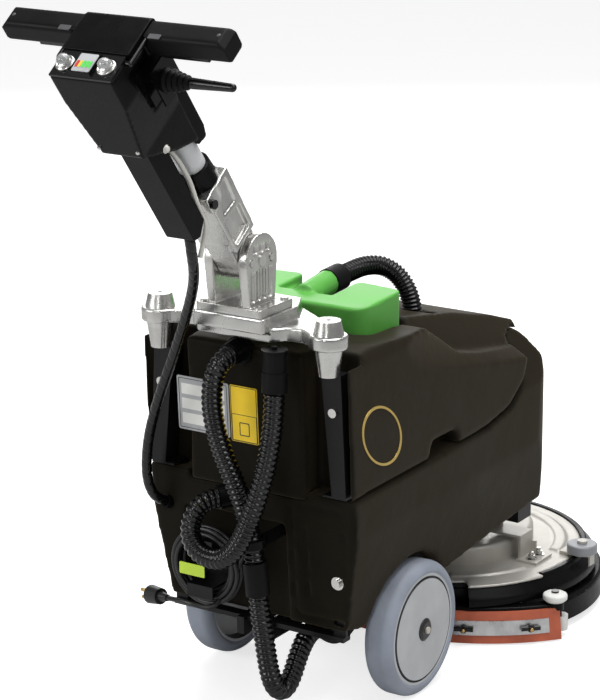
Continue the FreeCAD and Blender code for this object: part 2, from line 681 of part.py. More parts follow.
def yoke():
    """Cast bridge between the posts, with a raised pad for the handle hinge."""
    x = UPRIGHT_X
    plan = [(-62.0, -218.0, 8.0), (62.0, -218.0, 10.0), (76.0, -198.0, 9.0), (98.0, -196.0, 12.0),
            (x, POST_Y - 26.0, 12.0), (x + 16.0, POST_Y + 4.0, 10.0), (x, POST_Y + 27.0, 14.0),
            (40.0, -98.0, 8.0),
            (-40.0, -98.0, 8.0), (-x, POST_Y + 27.0, 14.0), (-x - 16.0, POST_Y + 4.0, 10.0),
            (-x, POST_Y - 26.0, 12.0), (-98.0, -196.0, 12.0), (-76.0, -198.0, 9.0)]
    plate = plan_prism(plan, YOKE_Z, YOKE_TOP_Z)
    bosses = [rod(YOKE_BOSS_RADIUS, V(s * x, POST_Y, YOKE_Z), V(s * x, POST_Y, YOKE_TOP_Z)) for s in (-1.0,
                                                                                                      1.0)]
    pad = plan_prism([(-60.0, -233.0, 6.0), (60.0, -233.0, 6.0), (60.0, -146.0, 6.0), (37.0, -101.0, 8.0),
                      (-37.0, -101.0, 8.0), (-60.0, -146.0, 6.0)], YOKE_TOP_Z - 6.0, PAD_TOP_Z)
    body = fuse([plate, pad] + bosses)
    bores = [rod(SPIGOT_RADIUS + RUNNING_FIT, V(s * x, POST_Y, YOKE_Z - 5.0),
                 V(s * x, POST_Y, YOKE_TOP_Z + 5.0))
             for s in (-1.0, 1.0)]
    return keep_out(body, *bores)


def ear_outline(radius):
    """Side view of a hinge ear: straight flanks under a round top about the pivot."""
    foot = PAD_TOP_Z + HINGE_PLATE[2] - PIVOT_Z
    return [(-radius + 8.0, foot), (radius - 6.0, foot), (radius, -4.0, 30.0),
            (radius, radius, radius - 0.5),
            (-radius, radius, radius - 0.5), (-radius, -4.0, 30.0)]


def hinge_base():
    """Hinge plate with two ribbed ears."""
    width, depth, thick = HINGE_PLATE
    top = PAD_TOP_Z + thick
    rear = PIVOT_Y + 8.0 - depth / 2.0
    plate = plan_prism([(-width / 2, rear, 4.0), (width / 2, rear, 4.0), (width / 2, rear + depth, 4.0),
                        (-width / 2, rear + depth, 4.0)], PAD_TOP_Z, top)
    ears = []
    slots = []
    for side in (-1.0, 1.0):
        ear = side_prism(ear_outline(EAR_RADIUS), side * EAR_INNER_X, side * (EAR_INNER_X + EAR_THICKNESS))
        ear.translate(V(0, PIVOT_Y, PIVOT_Z))
        ears.append(ear)
        face = side * (EAR_INNER_X + EAR_THICKNESS)
        for i in range(4):
            y = PIVOT_Y - 27.0 + 14.0 * i
            slots.append(box(face - side * 4.0, face + side * 2.0, y, y + 10.0, top + 6.0, PIVOT_Z - 12.0))
        for i in range(3):
            y = PIVOT_Y - 21.0 + 15.0 * i
            slots.append(box(face - side * 4.0, face + side * 2.0, y, y + 11.0, PIVOT_Z + 11.0,
                             PIVOT_Z + 24.0))
    bore = rod(PIVOT_PIN_RADIUS + RUNNING_FIT, V(-60, PIVOT_Y, PIVOT_Z), V(60, PIVOT_Y, PIVOT_Z))
    side_bores = [rod(5.0 + RUNNING_FIT, V(s * 24.0, PIVOT_Y + dy, PIVOT_Z),
                      V(s * 60.0, PIVOT_Y + dy, PIVOT_Z))
                  for s in (-1.0, 1.0) for dy in (-24.0, 24.0)]
    screw_bores = [rod(3.5, V(s * 45.0, rear + y, PAD_TOP_Z - 5.0), V(s * 45.0, rear + y, top + 5.0))
                   for s in (-1.0, 1.0) for y in (10.0, depth - 10.0)]
    return keep_out(fuse([plate] + ears), bore, *(slots + side_bores + screw_bores))


def hinge_screws():
    """Four plate screws and the short screws each side of the pivot."""
    top = PAD_TOP_Z + HINGE_PLATE[2]
    rear = PIVOT_Y + 8.0 - HINGE_PLATE[1] / 2.0
    screws = []
    for side in (-1.0, 1.0):
        for y in (10.0, HINGE_PLATE[1] - 10.0):
            shank = rod(3.4, V(side * 45.0, rear + y, PAD_TOP_Z), V(side * 45.0, rear + y, top))
            head = rod(6.0, V(side * 45.0, rear + y, top), V(side * 45.0, rear + y, top + 3.0))
            screws.append(fuse([shank, head]))
        face = side * (EAR_INNER_X + EAR_THICKNESS)
        for dy in (-24.0, 24.0):
            screws.append(rod(5.0, V(side * 26.0, PIVOT_Y + dy, PIVOT_Z),
                              V(face + side * 1.5, PIVOT_Y + dy, PIVOT_Z)))
    return screws


def pivot_pin():
    """Pin of the handle hinge, with a round head on each end."""
    reach = EAR_INNER_X + EAR_THICKNESS
    pin = rod(PIVOT_PIN_RADIUS, V(-reach, PIVOT_Y, PIVOT_Z), V(reach, PIVOT_Y, PIVOT_Z))
    heads = [rod(8.0, V(s * reach, PIVOT_Y, PIVOT_Z),
                 V(s * (reach + 2.0), PIVOT_Y, PIVOT_Z)) for s in (-1.0, 1.0)]
    return fuse([pin] + heads)


# ---- handle, drawn as x, n, s ---------------------------------------------------------------
def handle_arm():
    """Cast arm: round lug between the ears, ribbed body and split clamp ring for the tube."""
    lug_half = EAR_INNER_X - 0.6
    lug = rod(30.0, V(-lug_half, 0, 0), V(lug_half, 0, 0))
    neck = side_prism([(-29.0, -2.0), (24.0, -2.0), (24.0, 60.0), (-30.0, 60.0)], -lug_half, lug_half)
    body = side_prism([(-29.0, 46.0), (24.0, 46.0), (28.0, ARM_LENGTH), (-26.0, ARM_LENGTH),
                       (-30.0, 120.0)],
                      -ARM_HALF_WIDTH, ARM_HALF_WIDTH)
    shoulder = front_prism([(-60.0, 30.0), (60.0, 30.0), (60.0, 200.0), (-60.0, 200.0)], -60.0, 60.0)
    ring = rod(TUBE_RADIUS + 11.0, V(0, 0, 112.0), V(0, 0, ARM_LENGTH))
    clamp = box(-16.0, 30.0, -34.0, -22.0, 132.0, ARM_LENGTH)
    whole = fuse([lug, neck, body.common(shoulder), ring, clamp])
    bore = rod(TUBE_RADIUS + RUNNING_FIT, V(0, 0, 92.0), V(0, 0, ARM_LENGTH + 5.0))
    split = box(4.0, 7.0, -45.0, -15.0, 105.0, ARM_LENGTH + 5.0)
    screw = rod(4.0 + RUNNING_FIT, V(-20.0, -28.0, 146.0), V(40.0, -28.0, 146.0))
    pin = rod(PIVOT_PIN_RADIUS + RUNNING_FIT, V(-40, 0, 0), V(40, 0, 0))
    pockets = []
    for side in (-1.0, 1.0):
        pocket = side_prism([(-22.0, 54.0, 3.0), (16.0, 54.0, 3.0), (18.0, 96.0, 3.0), (-22.0, 104.0, 3.0)],
                            side * 22.0, side * 40.0)
        upper = side_prism([(-18.0, 110.0, 3.0), (14.0, 106.0, 3.0), (18.0, 150.0, 3.0), (2.0, 150.0, 3.0)],
                           side * 26.5, side * 40.0)
        pockets += [pocket, upper]
    return to_handle(keep_out(whole, bore, split, screw, pin, *pockets))


def clamp_screw():
    shank = rod(4.0, V(-15.0, -28.0, 146.0), V(30.0, -28.0, 146.0))
    head = rod(6.5, V(30.0, -28.0, 146.0), V(36.0, -28.0, 146.0))
    return to_handle(fuse([shank, head]))


def handle_tube():
    outer = rod(TUBE_RADIUS, V(0, 0, 92.0), V(0, 0, 300.0))
    return to_handle(keep_out(outer, rod(TUBE_RADIUS - TUBE_WALL, V(0, 0, 90.0), V(0, 0, 310.0))))


def tube_collar():
    start = ARM_LENGTH
    outer = cone(TUBE_RADIUS + 7.5, TUBE_RADIUS + 5.0, V(0, 0, start), V(0, 0, start + COLLAR_LENGTH))
    return to_handle(keep_out(outer,
                              rod(TUBE_RADIUS + RUNNING_FIT, V(0, 0, start - 5), V(0, 0, start + 60))))


def head_side():
    """Side view of the control head's rear housing."""
    top = HEAD_TOP_S
    return [(HEAD_REAR_N, top, 2.0), (HEAD_REAR_N, 310.0, 4.0), (-36.0, 260.0, 6.0),
            (HEAD_SPLIT_N, 236.0), (HEAD_SPLIT_N, 418.0), (-23.0, 418.0), (-23.0, 444.0), (PANEL_N, 444.0),
            (PANEL_N, top)]


def head_housing():
    """Rear housing of the control head, wider at the top, open in front for its cover."""
    body = side_prism(head_side(), -60.0, 60.0)
    wide = HEAD_HALF_WIDTH
    narrow = HEAD_FOOT_HALF_WIDTH
    front = [(-narrow + 4.0, 200.0), (narrow - 4.0, 200.0), (narrow, 310.0),
             (wide, HEAD_TOP_S - 50.0, 40.0),
             (wide + 1.0, 460.0), (-wide - 1.0, 460.0), (-wide, HEAD_TOP_S - 50.0, 40.0), (-narrow, 310.0)]
    body = body.common(front_prism(front, -120.0, 40.0))
    cavity = box(-27.0, 27.0, HEAD_REAR_N + 5.0, HEAD_SPLIT_N + 5.0, 318.0, 412.0)
    tube = rod(TUBE_RADIUS + RUNNING_FIT, V(0, 0, 200.0), V(0, 0, 300.0 + PIECE_GAP))
    step = side_prism([(-48.0, 345.0, 5.0), (30.0, 345.0), (30.0, 430.0), (-66.0, 430.0)], 38.0, 60.0)
    return to_handle(keep_out(body, cavity, tube, step, *button_wells()))


def head_cover():
    """Narrow front cover of the control head, round the handle tube."""
    points = [(HEAD_SPLIT_N, 226.0), (24.0, 222.0, 4.0), (30.0, 240.0, 6.0), (30.0, 400.0, 8.0),
              (20.0, 417.0),
              (HEAD_SPLIT_N, 417.0)]
    body = side_prism(points, -27.0, 27.0)
    tube = rod(TUBE_RADIUS + RUNNING_FIT, V(0, 0, 200.0), V(0, 0, 300.0 + PIECE_GAP))
    return to_handle(keep_out(body, tube))


def control_board():
    return to_handle(box(-25.0, 25.0, -62.0, -60.0, 324.0, 408.0))


def control_panel():
    """Top panel with a bore for each button."""
    half = HEAD_HALF_WIDTH
    plate = box(-half, half, HEAD_REAR_N, PANEL_N - PIECE_GAP, HEAD_TOP_S, HEAD_TOP_S + 3.0)
    bores = [rod(BUTTON_RADIUS + RUNNING_FIT, V(x, BUTTON_N, HEAD_TOP_S - 5),
                 V(x, BUTTON_N, HEAD_TOP_S + 5))
             for x in BUTTON_XS]
    rims = [keep_out(rod(BUTTON_RADIUS + 3.5, V(x, BUTTON_N, HEAD_TOP_S + 3),
                         V(x, BUTTON_N, HEAD_TOP_S + 5)),
                     rod(BUTTON_RADIUS + 0.6, V(x, BUTTON_N, HEAD_TOP_S), V(x, BUTTON_N, HEAD_TOP_S + 6)))
            for x in BUTTON_XS]
    return to_handle(fuse([keep_out(plate, *bores)] + rims))


def button(x):
    """Domed push button whose stem slides in the panel."""
    stem = rod(BUTTON_RADIUS, V(x, BUTTON_N, HEAD_TOP_S), V(x, BUTTON_N, HEAD_TOP_S + 6.0 + BUTTON_TRAVEL))
    dome = Part.makeSphere(BUTTON_RADIUS, V(x, BUTTON_N, HEAD_TOP_S + 6.0 + BUTTON_TRAVEL), Z, 0, 90, 360)
    return to_handle(fuse([stem, dome]))


def button_wells():
    """Bores under the panel that the button stems travel into."""
    return [rod(BUTTON_RADIUS + 1.0, V(x, BUTTON_N, HEAD_TOP_S - BUTTON_TRAVEL - 2.0),
                V(x, BUTTON_N, HEAD_TOP_S + 5.0))
            for x in BUTTON_XS]


def battery_gauge():
    """Charge gauge between the buttons."""
    return to_handle(box(-17.0, 14.0, -92.0, -58.0, HEAD_TOP_S + 3.0, HEAD_TOP_S + 7.0))


def bar_cover():
    """Middle cover of the handlebar, with a neck down to the panel."""
    half = GRIP_INNER_X - PIECE_GAP
    top = GRIP_S + GRIP_HEIGHT / 2.0 + 2.0
    crown = side_prism([(-22.0, 419.0), (GRIP_N + GRIP_DEPTH / 2 + 3.0, 419.0, 5.0),
                        (GRIP_N + GRIP_DEPTH / 2 + 3.0, top, 8.0), (-22.0, top)], -half, half)
    neck = front_prism([(-half, 445.0), (half, 445.0), (half, top), (-half, top)], PANEL_N, -22.0)
    bar = rod(BAR_RADIUS + RUNNING_FIT, V(-60, GRIP_N, GRIP_S), V(60, GRIP_N, GRIP_S))
    return to_handle(keep_out(fuse([crown, neck]), bar))


def handlebar():
    reach = GRIP_OUTER_X - 12.0
    return to_handle(rod(BAR_RADIUS, V(-reach, GRIP_N, GRIP_S), V(reach, GRIP_N, GRIP_S)))


def grip(side):
    """Square-section grip with rounded edges and bores for its trigger pins."""
    depth = GRIP_DEPTH / 2.0
    height = GRIP_HEIGHT / 2.0
    section = [(GRIP_N - depth, GRIP_S - height, 7.0), (GRIP_N + depth, GRIP_S - height, 7.0),
               (GRIP_N + depth, GRIP_S + height, 7.0), (GRIP_N - depth, GRIP_S + height, 7.0)]
    body = side_prism(section, side * GRIP_INNER_X, side * GRIP_OUTER_X)
    tip = side_prism(section, side * (GRIP_OUTER_X - 9.0), side * (GRIP_OUTER_X + 5.0))
    chamfer = front_prism([(side * (GRIP_OUTER_X - 9.0), GRIP_S + height),
                           (side * (GRIP_OUTER_X + 1.0), GRIP_S + height),
                           (side * (GRIP_OUTER_X + 1.0), GRIP_S + height - 9.0)], GRIP_N - 30.0,
                           GRIP_N + 30.0)
    bar = rod(BAR_RADIUS + RUNNING_FIT, V(0, GRIP_N, GRIP_S),
              V(side * (GRIP_OUTER_X - 12.0 + PIECE_GAP), GRIP_N, GRIP_S))
    pins = [rod(TRIGGER_PIN_RADIUS + RUNNING_FIT, V(side * x, TRIGGER_PIN_N, 400.0),
                V(side * x, TRIGGER_PIN_N, GRIP_S - height + 12.0)) for x in TRIGGER_PIN_XS]
    bail = bail_rod(side, BAIL_RADIUS + RUNNING_FIT)
    return to_handle(keep_out(body, chamfer.common(tip), bar, bail, *pins))


def trigger(side):
    """Squeeze lever under a grip, guided by two pins that slide in the grip."""
    low = GRIP_S - GRIP_HEIGHT / 2.0 - TRIGGER_TRAVEL - 1.0
    blade = side_prism([(GRIP_N - 9.0, low - 7.0, 3.0), (GRIP_N + 16.0, low - 7.0, 3.0),
                        (GRIP_N + 16.0, low, 2.0),
                        (GRIP_N - 9.0, low, 2.0)], side * 62.0, side * 132.0)
    pins = [rod(TRIGGER_PIN_RADIUS, V(side * x, TRIGGER_PIN_N, low - 2.0),
                V(side * x, TRIGGER_PIN_N, low + 9.0))
            for x in TRIGGER_PIN_XS]
    return to_handle(fuse([blade] + pins))


def bail_rod(side, radius):
    """Bent guard rod from the head's top corner up into a grip."""
    x = side * BAIL_X
    low_n = PANEL_N - 8.0
    foot = rod(radius, V(side * (HEAD_HALF_WIDTH + 0.2), low_n, BAIL_S), V(x, low_n, BAIL_S))
    leg = rod(radius, V(x, low_n, BAIL_S), V(x, BAIL_N, BAIL_S))
    reach = rod(radius, V(x, BAIL_N, BAIL_S), V(side * (GRIP_INNER_X + 16.0), BAIL_N, BAIL_S))
    knees = [Part.makeSphere(radius, V(x, n, BAIL_S)) for n in (low_n, BAIL_N)]
    return fuse([foot, leg, reach] + knees)


def bail_rods():
    return [to_handle(bail_rod(side, BAIL_RADIUS)) for side, _ in SIDES]


def cable_box():
    """Slim cover under the head for the harness and the switch actuator."""
    body = side_prism([(-80.0, 128.0, 4.0), (-66.0, 122.0, 3.0), (-46.0, 134.0, 3.0), (-44.0, 330.0),
                       (-80.0, 330.0)],
                      -22.0, 22.0)
    head = side_prism(head_side(), -60.0, 60.0)
    return to_handle(keep_out(body, head))


def lever_bracket():
    """Steel bracket on the head's right side that carries the lever."""
    plate = box(38.0, 41.0, -44.0, 4.0, 350.0, 412.0)
    shelf = box(41.0, 57.0, -44.0, 4.0, 398.0, 401.0)
    face = side_prism([(-44.0, 352.0, 3.0), (4.0, 352.0, 3.0), (4.0, 412.0, 3.0), (-44.0, 412.0, 3.0)],
                      57.0, 60.0)
    hole = rod(8.0, V(55.0, LEVER_N, LEVER_S), V(62.0, LEVER_N, LEVER_S))
    return to_handle(keep_out(fuse([plate, shelf, face]), hole))


def lever_boot():
    """Ribbed rubber boot between the bracket and the lever."""
    points = [(60.0, 8.5), (60.0, 17.0)]
    for i in range(4):
        x = 62.0 + 7.0 * i
        radius = 17.0 - 1.8 * i
        points += [(x, radius), (x + 4.0, radius), (x + 5.5, radius - 3.0)]
    points += [(92.0, 8.5)]
    at = V(0, LEVER_N, LEVER_S)
    face = outline(points, lambda a, b: V(a, LEVER_N, LEVER_S + b))
    return to_handle(face.revolve(at, X, 360))


def lever():
    """Tapered lever stick with a rounded end."""
    neck = rod(4.0, V(56.0, LEVER_N, LEVER_S), V(96.0, LEVER_N, LEVER_S))
    pin = rod(5.0, V(56.0, LEVER_N - 5.0, LEVER_S), V(56.0, LEVER_N + 5.0, LEVER_S))
    stick = cone(7.5, 5.5, V(96.0, LEVER_N, LEVER_S), V(LEVER_REACH - 5.5, LEVER_N, LEVER_S))
    tip = Part.makeSphere(5.5, V(LEVER_REACH - 5.5, LEVER_N, LEVER_S))
    return to_handle(fuse([neck, pin, stick, tip]))


# ---- deck -------------------------------------------------------------------------------------
def sector(radius, start, angle, z0, z1):
    """Wedge about the deck centre, from an angle off +X."""
    wedge = Part.makeCylinder(radius, z1 - z0, V(0, 0, z0), Z, angle)
    wedge.rotate(ORIGIN, Z, start)
    wedge.translate(V(0, DECK_Y, 0))
    return wedge


def port_sweep(z0, z1):
    """Sector behind the deck centre that the squeegee's port passes through."""
    half = SWING_DEGREES + 9.0
    inside = rod(RING_OUTER, V(0, DECK_Y, z0), V(0, DECK_Y, z1))
    return keep_out(sector(300.0, 270.0 - half, 2.0 * half, z0, z1), inside)


def deck_plate():
    """Silver top plate: wide flange behind, narrower in front, with a raised rib ring."""
    z0 = PLATE_Z
    z1 = PLATE_Z + PLATE_THICKNESS
    disc = spun([(SHAFT_RADIUS + 2.0, z0), (PLATE_FRONT_RADIUS, z0), (PLATE_FRONT_RADIUS, z1, 2.0),
                 (SHAFT_RADIUS + 2.0, z1)], DECK)
    flange = keep_out(sector(PLATE_RADIUS, 199.5, 141.0, z0, z1),
                      rod(150.0, V(0, DECK_Y, z0), V(0, DECK_Y, z1)))
    bead = spun([(168.0, z1 - 1.0), (188.0, z1 - 1.0), (186.0, z1 + 4.0, 1.5), (170.0, z1 + 4.0, 1.5)],
                DECK,
                -60.0, 300.0)
    room = fuse([box(-199.0, -141.0, 326.0, 420.0, z1, z1 + 20.0),
                 box(141.0, 199.0, 326.0, 420.0, z1, z1 + 20.0)])
    bead = keep_out(bead, room, port_sweep(0, 200.0))
    whole = fuse([disc, flange] + bead.Solids)
    return keep_out(whole, port_sweep(z0 - 5, z1 + 5))


def deck_housing():
    """Black shroud round the brush, whose front shoulder stands above the plate's edge."""
    top = PLATE_Z
    low = HOUSING_BOTTOM_Z
    outer = HOUSING_RADIUS
    shell = spun([(201.0 + 1.0, low), (outer, low, 1.0), (outer, top - 14.0, 12.0), (outer - 14.0, top),
                  (150.0, top),
                  (150.0, top - 6.0), (outer - 9.0, top - 6.0), (outer - 6.0, low + 4.0),
                  (202.0, low + 4.0)], DECK)
    shoulder = spun([(PLATE_FRONT_RADIUS + 0.5, top - 2.0), (outer - 13.0, top - 2.0),
                     (outer - 16.0, top + 6.0, 4.0),
                     (PLATE_FRONT_RADIUS + 0.5, top + 6.0, 2.0)], DECK, -19.0, 218.0)
    hub = rod(60.0, V(0, DECK_Y, top - 6.0), V(0, DECK_Y, top))
    return keep_out(fuse([shell, shoulder]), port_sweep(low - 5, top + 12.0), hub)


def motor_drum():
    """Low round housing over the brush drive."""
    z0 = PLATE_Z + PLATE_THICKNESS
    return spun([(SHAFT_RADIUS + 2.0, z0), (DRUM_RADIUS, z0), (DRUM_RADIUS, DRUM_TOP_Z, 8.0),
                 (SHAFT_RADIUS + 2.0, DRUM_TOP_Z)], DECK)


def gear_motor():
    """Brush motor with its drive shaft."""
    can = rod(58.0, V(0, DECK_Y, DRUM_TOP_Z), V(0, DECK_Y, MOTOR_TOP_Z))
    shaft = rod(SHAFT_RADIUS, V(0, DECK_Y, 20.0), V(0, DECK_Y, DRUM_TOP_Z))
    return fuse([can, shaft])


def deck_bracket(side):
    """Channel bracket on the deck, with an inner post up to the frame's front cross member."""
    z0 = PLATE_Z + PLATE_THICKNESS
    x = side * 146.0
    wall = box(x, x + side * 4.0, 352.0, 392.0, z0, BRACKET_TOP_Z)
    foot = box(x, x + side * 36.0, 345.0, 397.0, z0, z0 + 4.0)
    roof = box(side * 92.0, x + side * 4.0, 352.0, 392.0, BRACKET_TOP_Z - 4.0, BRACKET_TOP_Z)
    post = box(side * 92.0, side * 97.0, 352.0, 392.0, BRACKET_TOP_Z - 4.0, CROSS_BOTTOM_Z)
    flange = side_prism([(388.0, z0), (392.0, z0), (392.0, 112.0), (388.0, 112.0)], x, x + side * 12.0)
    return fuse([wall, foot, roof, post, flange])


def deck_bolts():
    """Two hexagon bolts through each bracket foot."""
    bolts = []
    z0 = PLATE_Z + PLATE_THICKNESS + 4.0
    for side, _ in SIDES:
        for y in (359.0, 383.0):
            ring = rod(9.0, V(side * 166.0, y, z0), V(side * 166.0, y, z0 + 1.6))
            points = [(side * 166.0 + 6.5 * math.cos(math.radians(a)), y + 6.5 * math.sin(math.radians(a)))
                      for a in range(0, 360, 60)]
            head = plan_prism(points, z0 + 1.6, z0 + 7.0)
            stud = rod(3.5, V(side * 166.0, y, z0 + 7.0), V(side * 166.0, y, z0 + 12.0))
            bolts.append(fuse([ring, head, stud]))
    return bolts


def bumper_bracket(side):
    """Steel tab that holds a corner roller over the shroud, with the roller's stud."""
    z0 = PLATE_Z + 8.0
    x = side * ROLLER_X
    tab = plan_prism([(side * 188.0, ROLLER_Y - 12.0), (side * 188.0, ROLLER_Y + 12.0),
                      (x, ROLLER_Y + 16.0, 5.0),
                      (x + side * 18.0, ROLLER_Y + 8.0, 5.0), (x + side * 18.0, ROLLER_Y - 8.0, 5.0),
                      (x, ROLLER_Y - 16.0, 5.0)], z0, z0 + 3.0)
    heel = box(side * 188.0, side * 202.0, ROLLER_Y - 12.0, ROLLER_Y + 12.0, PLATE_Z + PLATE_THICKNESS, z0)
    apron = front_prism([(x + side * 15.0, z0), (x + side * 18.0, z0), (x + side * 18.0, 77.0),
                         (x + side * 15.5, 75.0)], ROLLER_Y - 8.0, ROLLER_Y + 8.0)
    stud = rod(5.0, V(x, ROLLER_Y, z0 + 3.0), V(x, ROLLER_Y, z0 + 21.0))
    head = rod(8.0, V(x, ROLLER_Y, z0 + 19.0), V(x, ROLLER_Y, z0 + 23.0))
    return fuse([tab, heel, apron, stud, head])


def bumper_roller(side):
    """Grey corner roller that turns on its stud."""
    z0 = PLATE_Z + 11.5
    return spun([(5.0 + RUNNING_FIT, z0), (ROLLER_RADIUS, z0, 2.0), (ROLLER_RADIUS, z0 + 15.0, 3.0),
                 (5.0 + RUNNING_FIT, z0 + 15.0)], (side * ROLLER_X, ROLLER_Y))


def brush():
    """Disc brush: a block with a drive bore over a skirt of bristles."""
    height = BRUSH_HEIGHT
    radius = BRUSH_RADIUS
    return spun([(SHAFT_RADIUS + RUNNING_FIT, 24.0), (60.0, 24.0), (64.0, 0.0), (radius, 0.0),
                 (radius - 4.0, 28.0),
                 (radius - 6.0, height, 3.0), (70.0, height), (60.0, height + 6.0),
                 (SHAFT_RADIUS + RUNNING_FIT, height + 6.0)],
                DECK)


# ---- squeegee ----------------------------------------------------------------------------------
def blade_band(points, angle):
    """Outline of (radius, z) swept along the squeegee's arc behind the deck."""
    return spun(points, (0.0, BLADE_CENTRE_Y), 270.0 - angle, 2.0 * angle)


def squeegee_ring():
    """Turning ring round the brush, with a splash lip in front of the squeegee."""
    ring = spun([(RING_INNER, 44.0), (RING_OUTER, 44.0), (RING_OUTER, 76.0), (RING_INNER, 76.0)], DECK)
    lip = spun([(RING_OUTER - 2.0, 44.0), (LIP_RADIUS - 6.0, 44.0), (LIP_RADIUS - 6.0, 13.0),
                (LIP_RADIUS, 13.0),
                (LIP_RADIUS, RING_TOP_Z - 4.0, 5.0), (LIP_RADIUS - 6.0, RING_TOP_Z),
                (RING_OUTER - 2.0, RING_TOP_Z)],
               DECK, -17.0, 214.0)
    return fuse([ring, lip])


def squeegee_body():
    """Curved carrier for both blades, with the suction port on its middle."""
    outer = BLADE_RADIUS - 2.0
    band = blade_band([(outer - 21.0, 34.0), (outer, 34.0), (outer, 56.0, 3.0), (outer - 21.0, 56.0, 3.0)],
                      BLADE_ANGLE + 1.0)
    ends = []
    for side in (-1.0, 1.0):
        ends.append(rod(14.0, V(side * END_X, END_Y, 44.0), V(side * END_X, END_Y, 56.0)))
    hole = rod(RING_OUTER, V(0, DECK_Y, 0), V(0, DECK_Y, 100.0))
    lip = sector(LIP_RADIUS + 0.5, -17.5, 215.0, 0.0, 100.0)
    body = keep_out(fuse([band] + ends), hole, lip)
    neck = rod(17.0, V(0, PORT_Y, 50.0), V(0, PORT_Y, 88.0))
    elbow = rod(17.0, V(0, PORT_Y + 8.0, PORT_Z), V(0, PORT_Y - 25.0, PORT_Z))
    bolts = rod(4.0 + RUNNING_FIT, V(END_X, END_Y, 40.0), V(END_X, END_Y, 60.0))
    return keep_out(fuse([body, keep_out(fuse([neck, elbow]), hole)]), bolts, mirrored(bolts), rear_blade())


def rear_blade():
    """Red rubber blade that leans out towards the floor."""
    r = BLADE_RADIUS
    t = BLADE_THICKNESS
    return blade_band([(r - 2.0, BLADE_TOP_Z), (r - 2.0 + BLADE_SPREAD, BLADE_BOTTOM_Z),
                       (r - 2.0 + BLADE_SPREAD + t, BLADE_BOTTOM_Z), (r - 2.0 + t, BLADE_TOP_Z)],
                       BLADE_ANGLE)


def front_blade():
    """Inner rubber blade."""
    return blade_band([(296.0, 34.0), (296.0, BLADE_BOTTOM_Z + 1.0), (299.0, BLADE_BOTTOM_Z + 1.0),
                       (299.0, 34.0)],
                      BLADE_ANGLE - 6.0)


def blade_lean(z):
    """Radius of the rear blade's outer face at a height."""
    share = (BLADE_TOP_Z - z) / (BLADE_TOP_Z - BLADE_BOTTOM_Z)
    return BLADE_RADIUS - 2.0 + BLADE_THICKNESS + BLADE_SPREAD * share


def blade_strap():
    """Aluminium strap that clamps the rear blade."""
    low = 16.0
    high = 38.0
    return blade_band([(blade_lean(low), low), (blade_lean(low) + 2.0, low), (blade_lean(high) + 2.0, high),
                       (blade_lean(high), high)], BLADE_ANGLE - 3.5)


def wing_nuts():
    """Four wing nuts on the strap."""
    made = []
    z = 27.0
    radius = blade_lean(z) + 2.0
    for degrees in (-43.0, -25.0, 25.0, 43.0):
        at = V(0, BLADE_CENTRE_Y - radius, z)
        hub = rod(6.0, at, at + V(0, -8.0, 0.3))
        wing = side_prism([(-6.0, -3.5, 2.0), (-1.0, -3.5), (-1.0, 3.5), (-6.0, 3.5, 2.0)], -15.0, 15.0)
        wing.translate(at + V(0, -2.5, 0))
        stud = rod(2.5, at + V(0, -8.0, 0), at + V(0, -12.0, 0))
        nut = fuse([hub, wing, stud])
        nut.rotate(V(0, BLADE_CENTRE_Y, 0), Z, degrees)
        made.append(keep_out(nut, blade_band([(300.0, 0.0), (blade_lean(0.0) + 2.0, 0.0),
                                              (blade_lean(60.0) + 2.0, 60.0),
                                              (300.0, 60.0)], BLADE_ANGLE)))
    return made


def blade_caps():
    """White end pads of the blades."""
    caps = []
    for side in (-1.0, 1.0):
        caps.append(rod(11.0, V(side * (END_X + 6.0), END_Y + 9.0, 10.0),
                        V(side * (END_X + 6.0), END_Y + 9.0, CARRIER_Z)))
    room = blade_band([(280.0, 0.0), (345.0, 0.0), (345.0, 60.0), (280.0, 60.0)], BLADE_ANGLE + 0.1)
    lip = sector(LIP_RADIUS + 1.0, -17.5, 215.0, 0.0, 100.0)
    return [keep_out(cap, room, lip) for cap in caps]


def squeegee_roller_bolts():
    """Shouldered bolts that the squeegee's end rollers turn on."""
    bolts = []
    for side in (-1.0, 1.0):
        at = V(side * END_X, END_Y, 0)
        shank = rod(4.0, at + V(0, 0, 45.0), at + V(0, 0, 74.0))
        head = rod(6.0, at + V(0, 0, 72.6), at + V(0, 0, 75.0))
        bolts.append(fuse([shank, head]))
    return bolts


def squeegee_roller(side):
    """White end roller on top of the squeegee."""
    z0 = 58.0
    return spun([(4.0 + RUNNING_FIT, z0), (15.0, z0, 2.0), (19.0, z0 + 4.0, 2.0), (19.0, z0 + 12.0, 4.0),
                 (9.0, z0 + 14.0), (4.0 + RUNNING_FIT, z0 + 14.0)], (side * END_X, END_Y))


# ---- wheels --------------------------------------------------------------------------------------
def tyre(side):
    """Rounded solid tyre."""
    inner = WHEEL_RADIUS - TYRE_DEPTH
    x0 = WHEEL_INNER_X
    x1 = WHEEL_OUTER_X
    shoulder = TYRE_SHOULDER
    face = [(x0 + 2.0, inner), (x1 - 2.0, inner), (x1, inner + 4.0), (x1, WHEEL_RADIUS, shoulder * 1.6),
            (x0, WHEEL_RADIUS, shoulder * 1.6), (x0, inner + 4.0)]
    return spun_about_x(face, side)


def rim(side):
    """Wheel body with a flat outer cover, a dished inner side and a bored hub."""
    edge = WHEEL_RADIUS - TYRE_DEPTH
    x0 = WHEEL_INNER_X
    x1 = WHEEL_OUTER_X
    face = [(x0 - 1.0, AXLE_RADIUS + RUNNING_FIT), (x0 - 1.0, 20.0), (x0 + 16.0, 26.0),
            (x0 + 16.0, edge - 8.0),
            (x0 + 2.0, edge - 4.0), (x0 + 2.0, edge), (x1 - 2.0, edge), (x1 - 2.0, edge - 4.0),
            (x1 - 5.0, edge - 5.0),
            (x1 - 5.0, AXLE_RADIUS + RUNNING_FIT)]
    return spun_about_x(face, side)


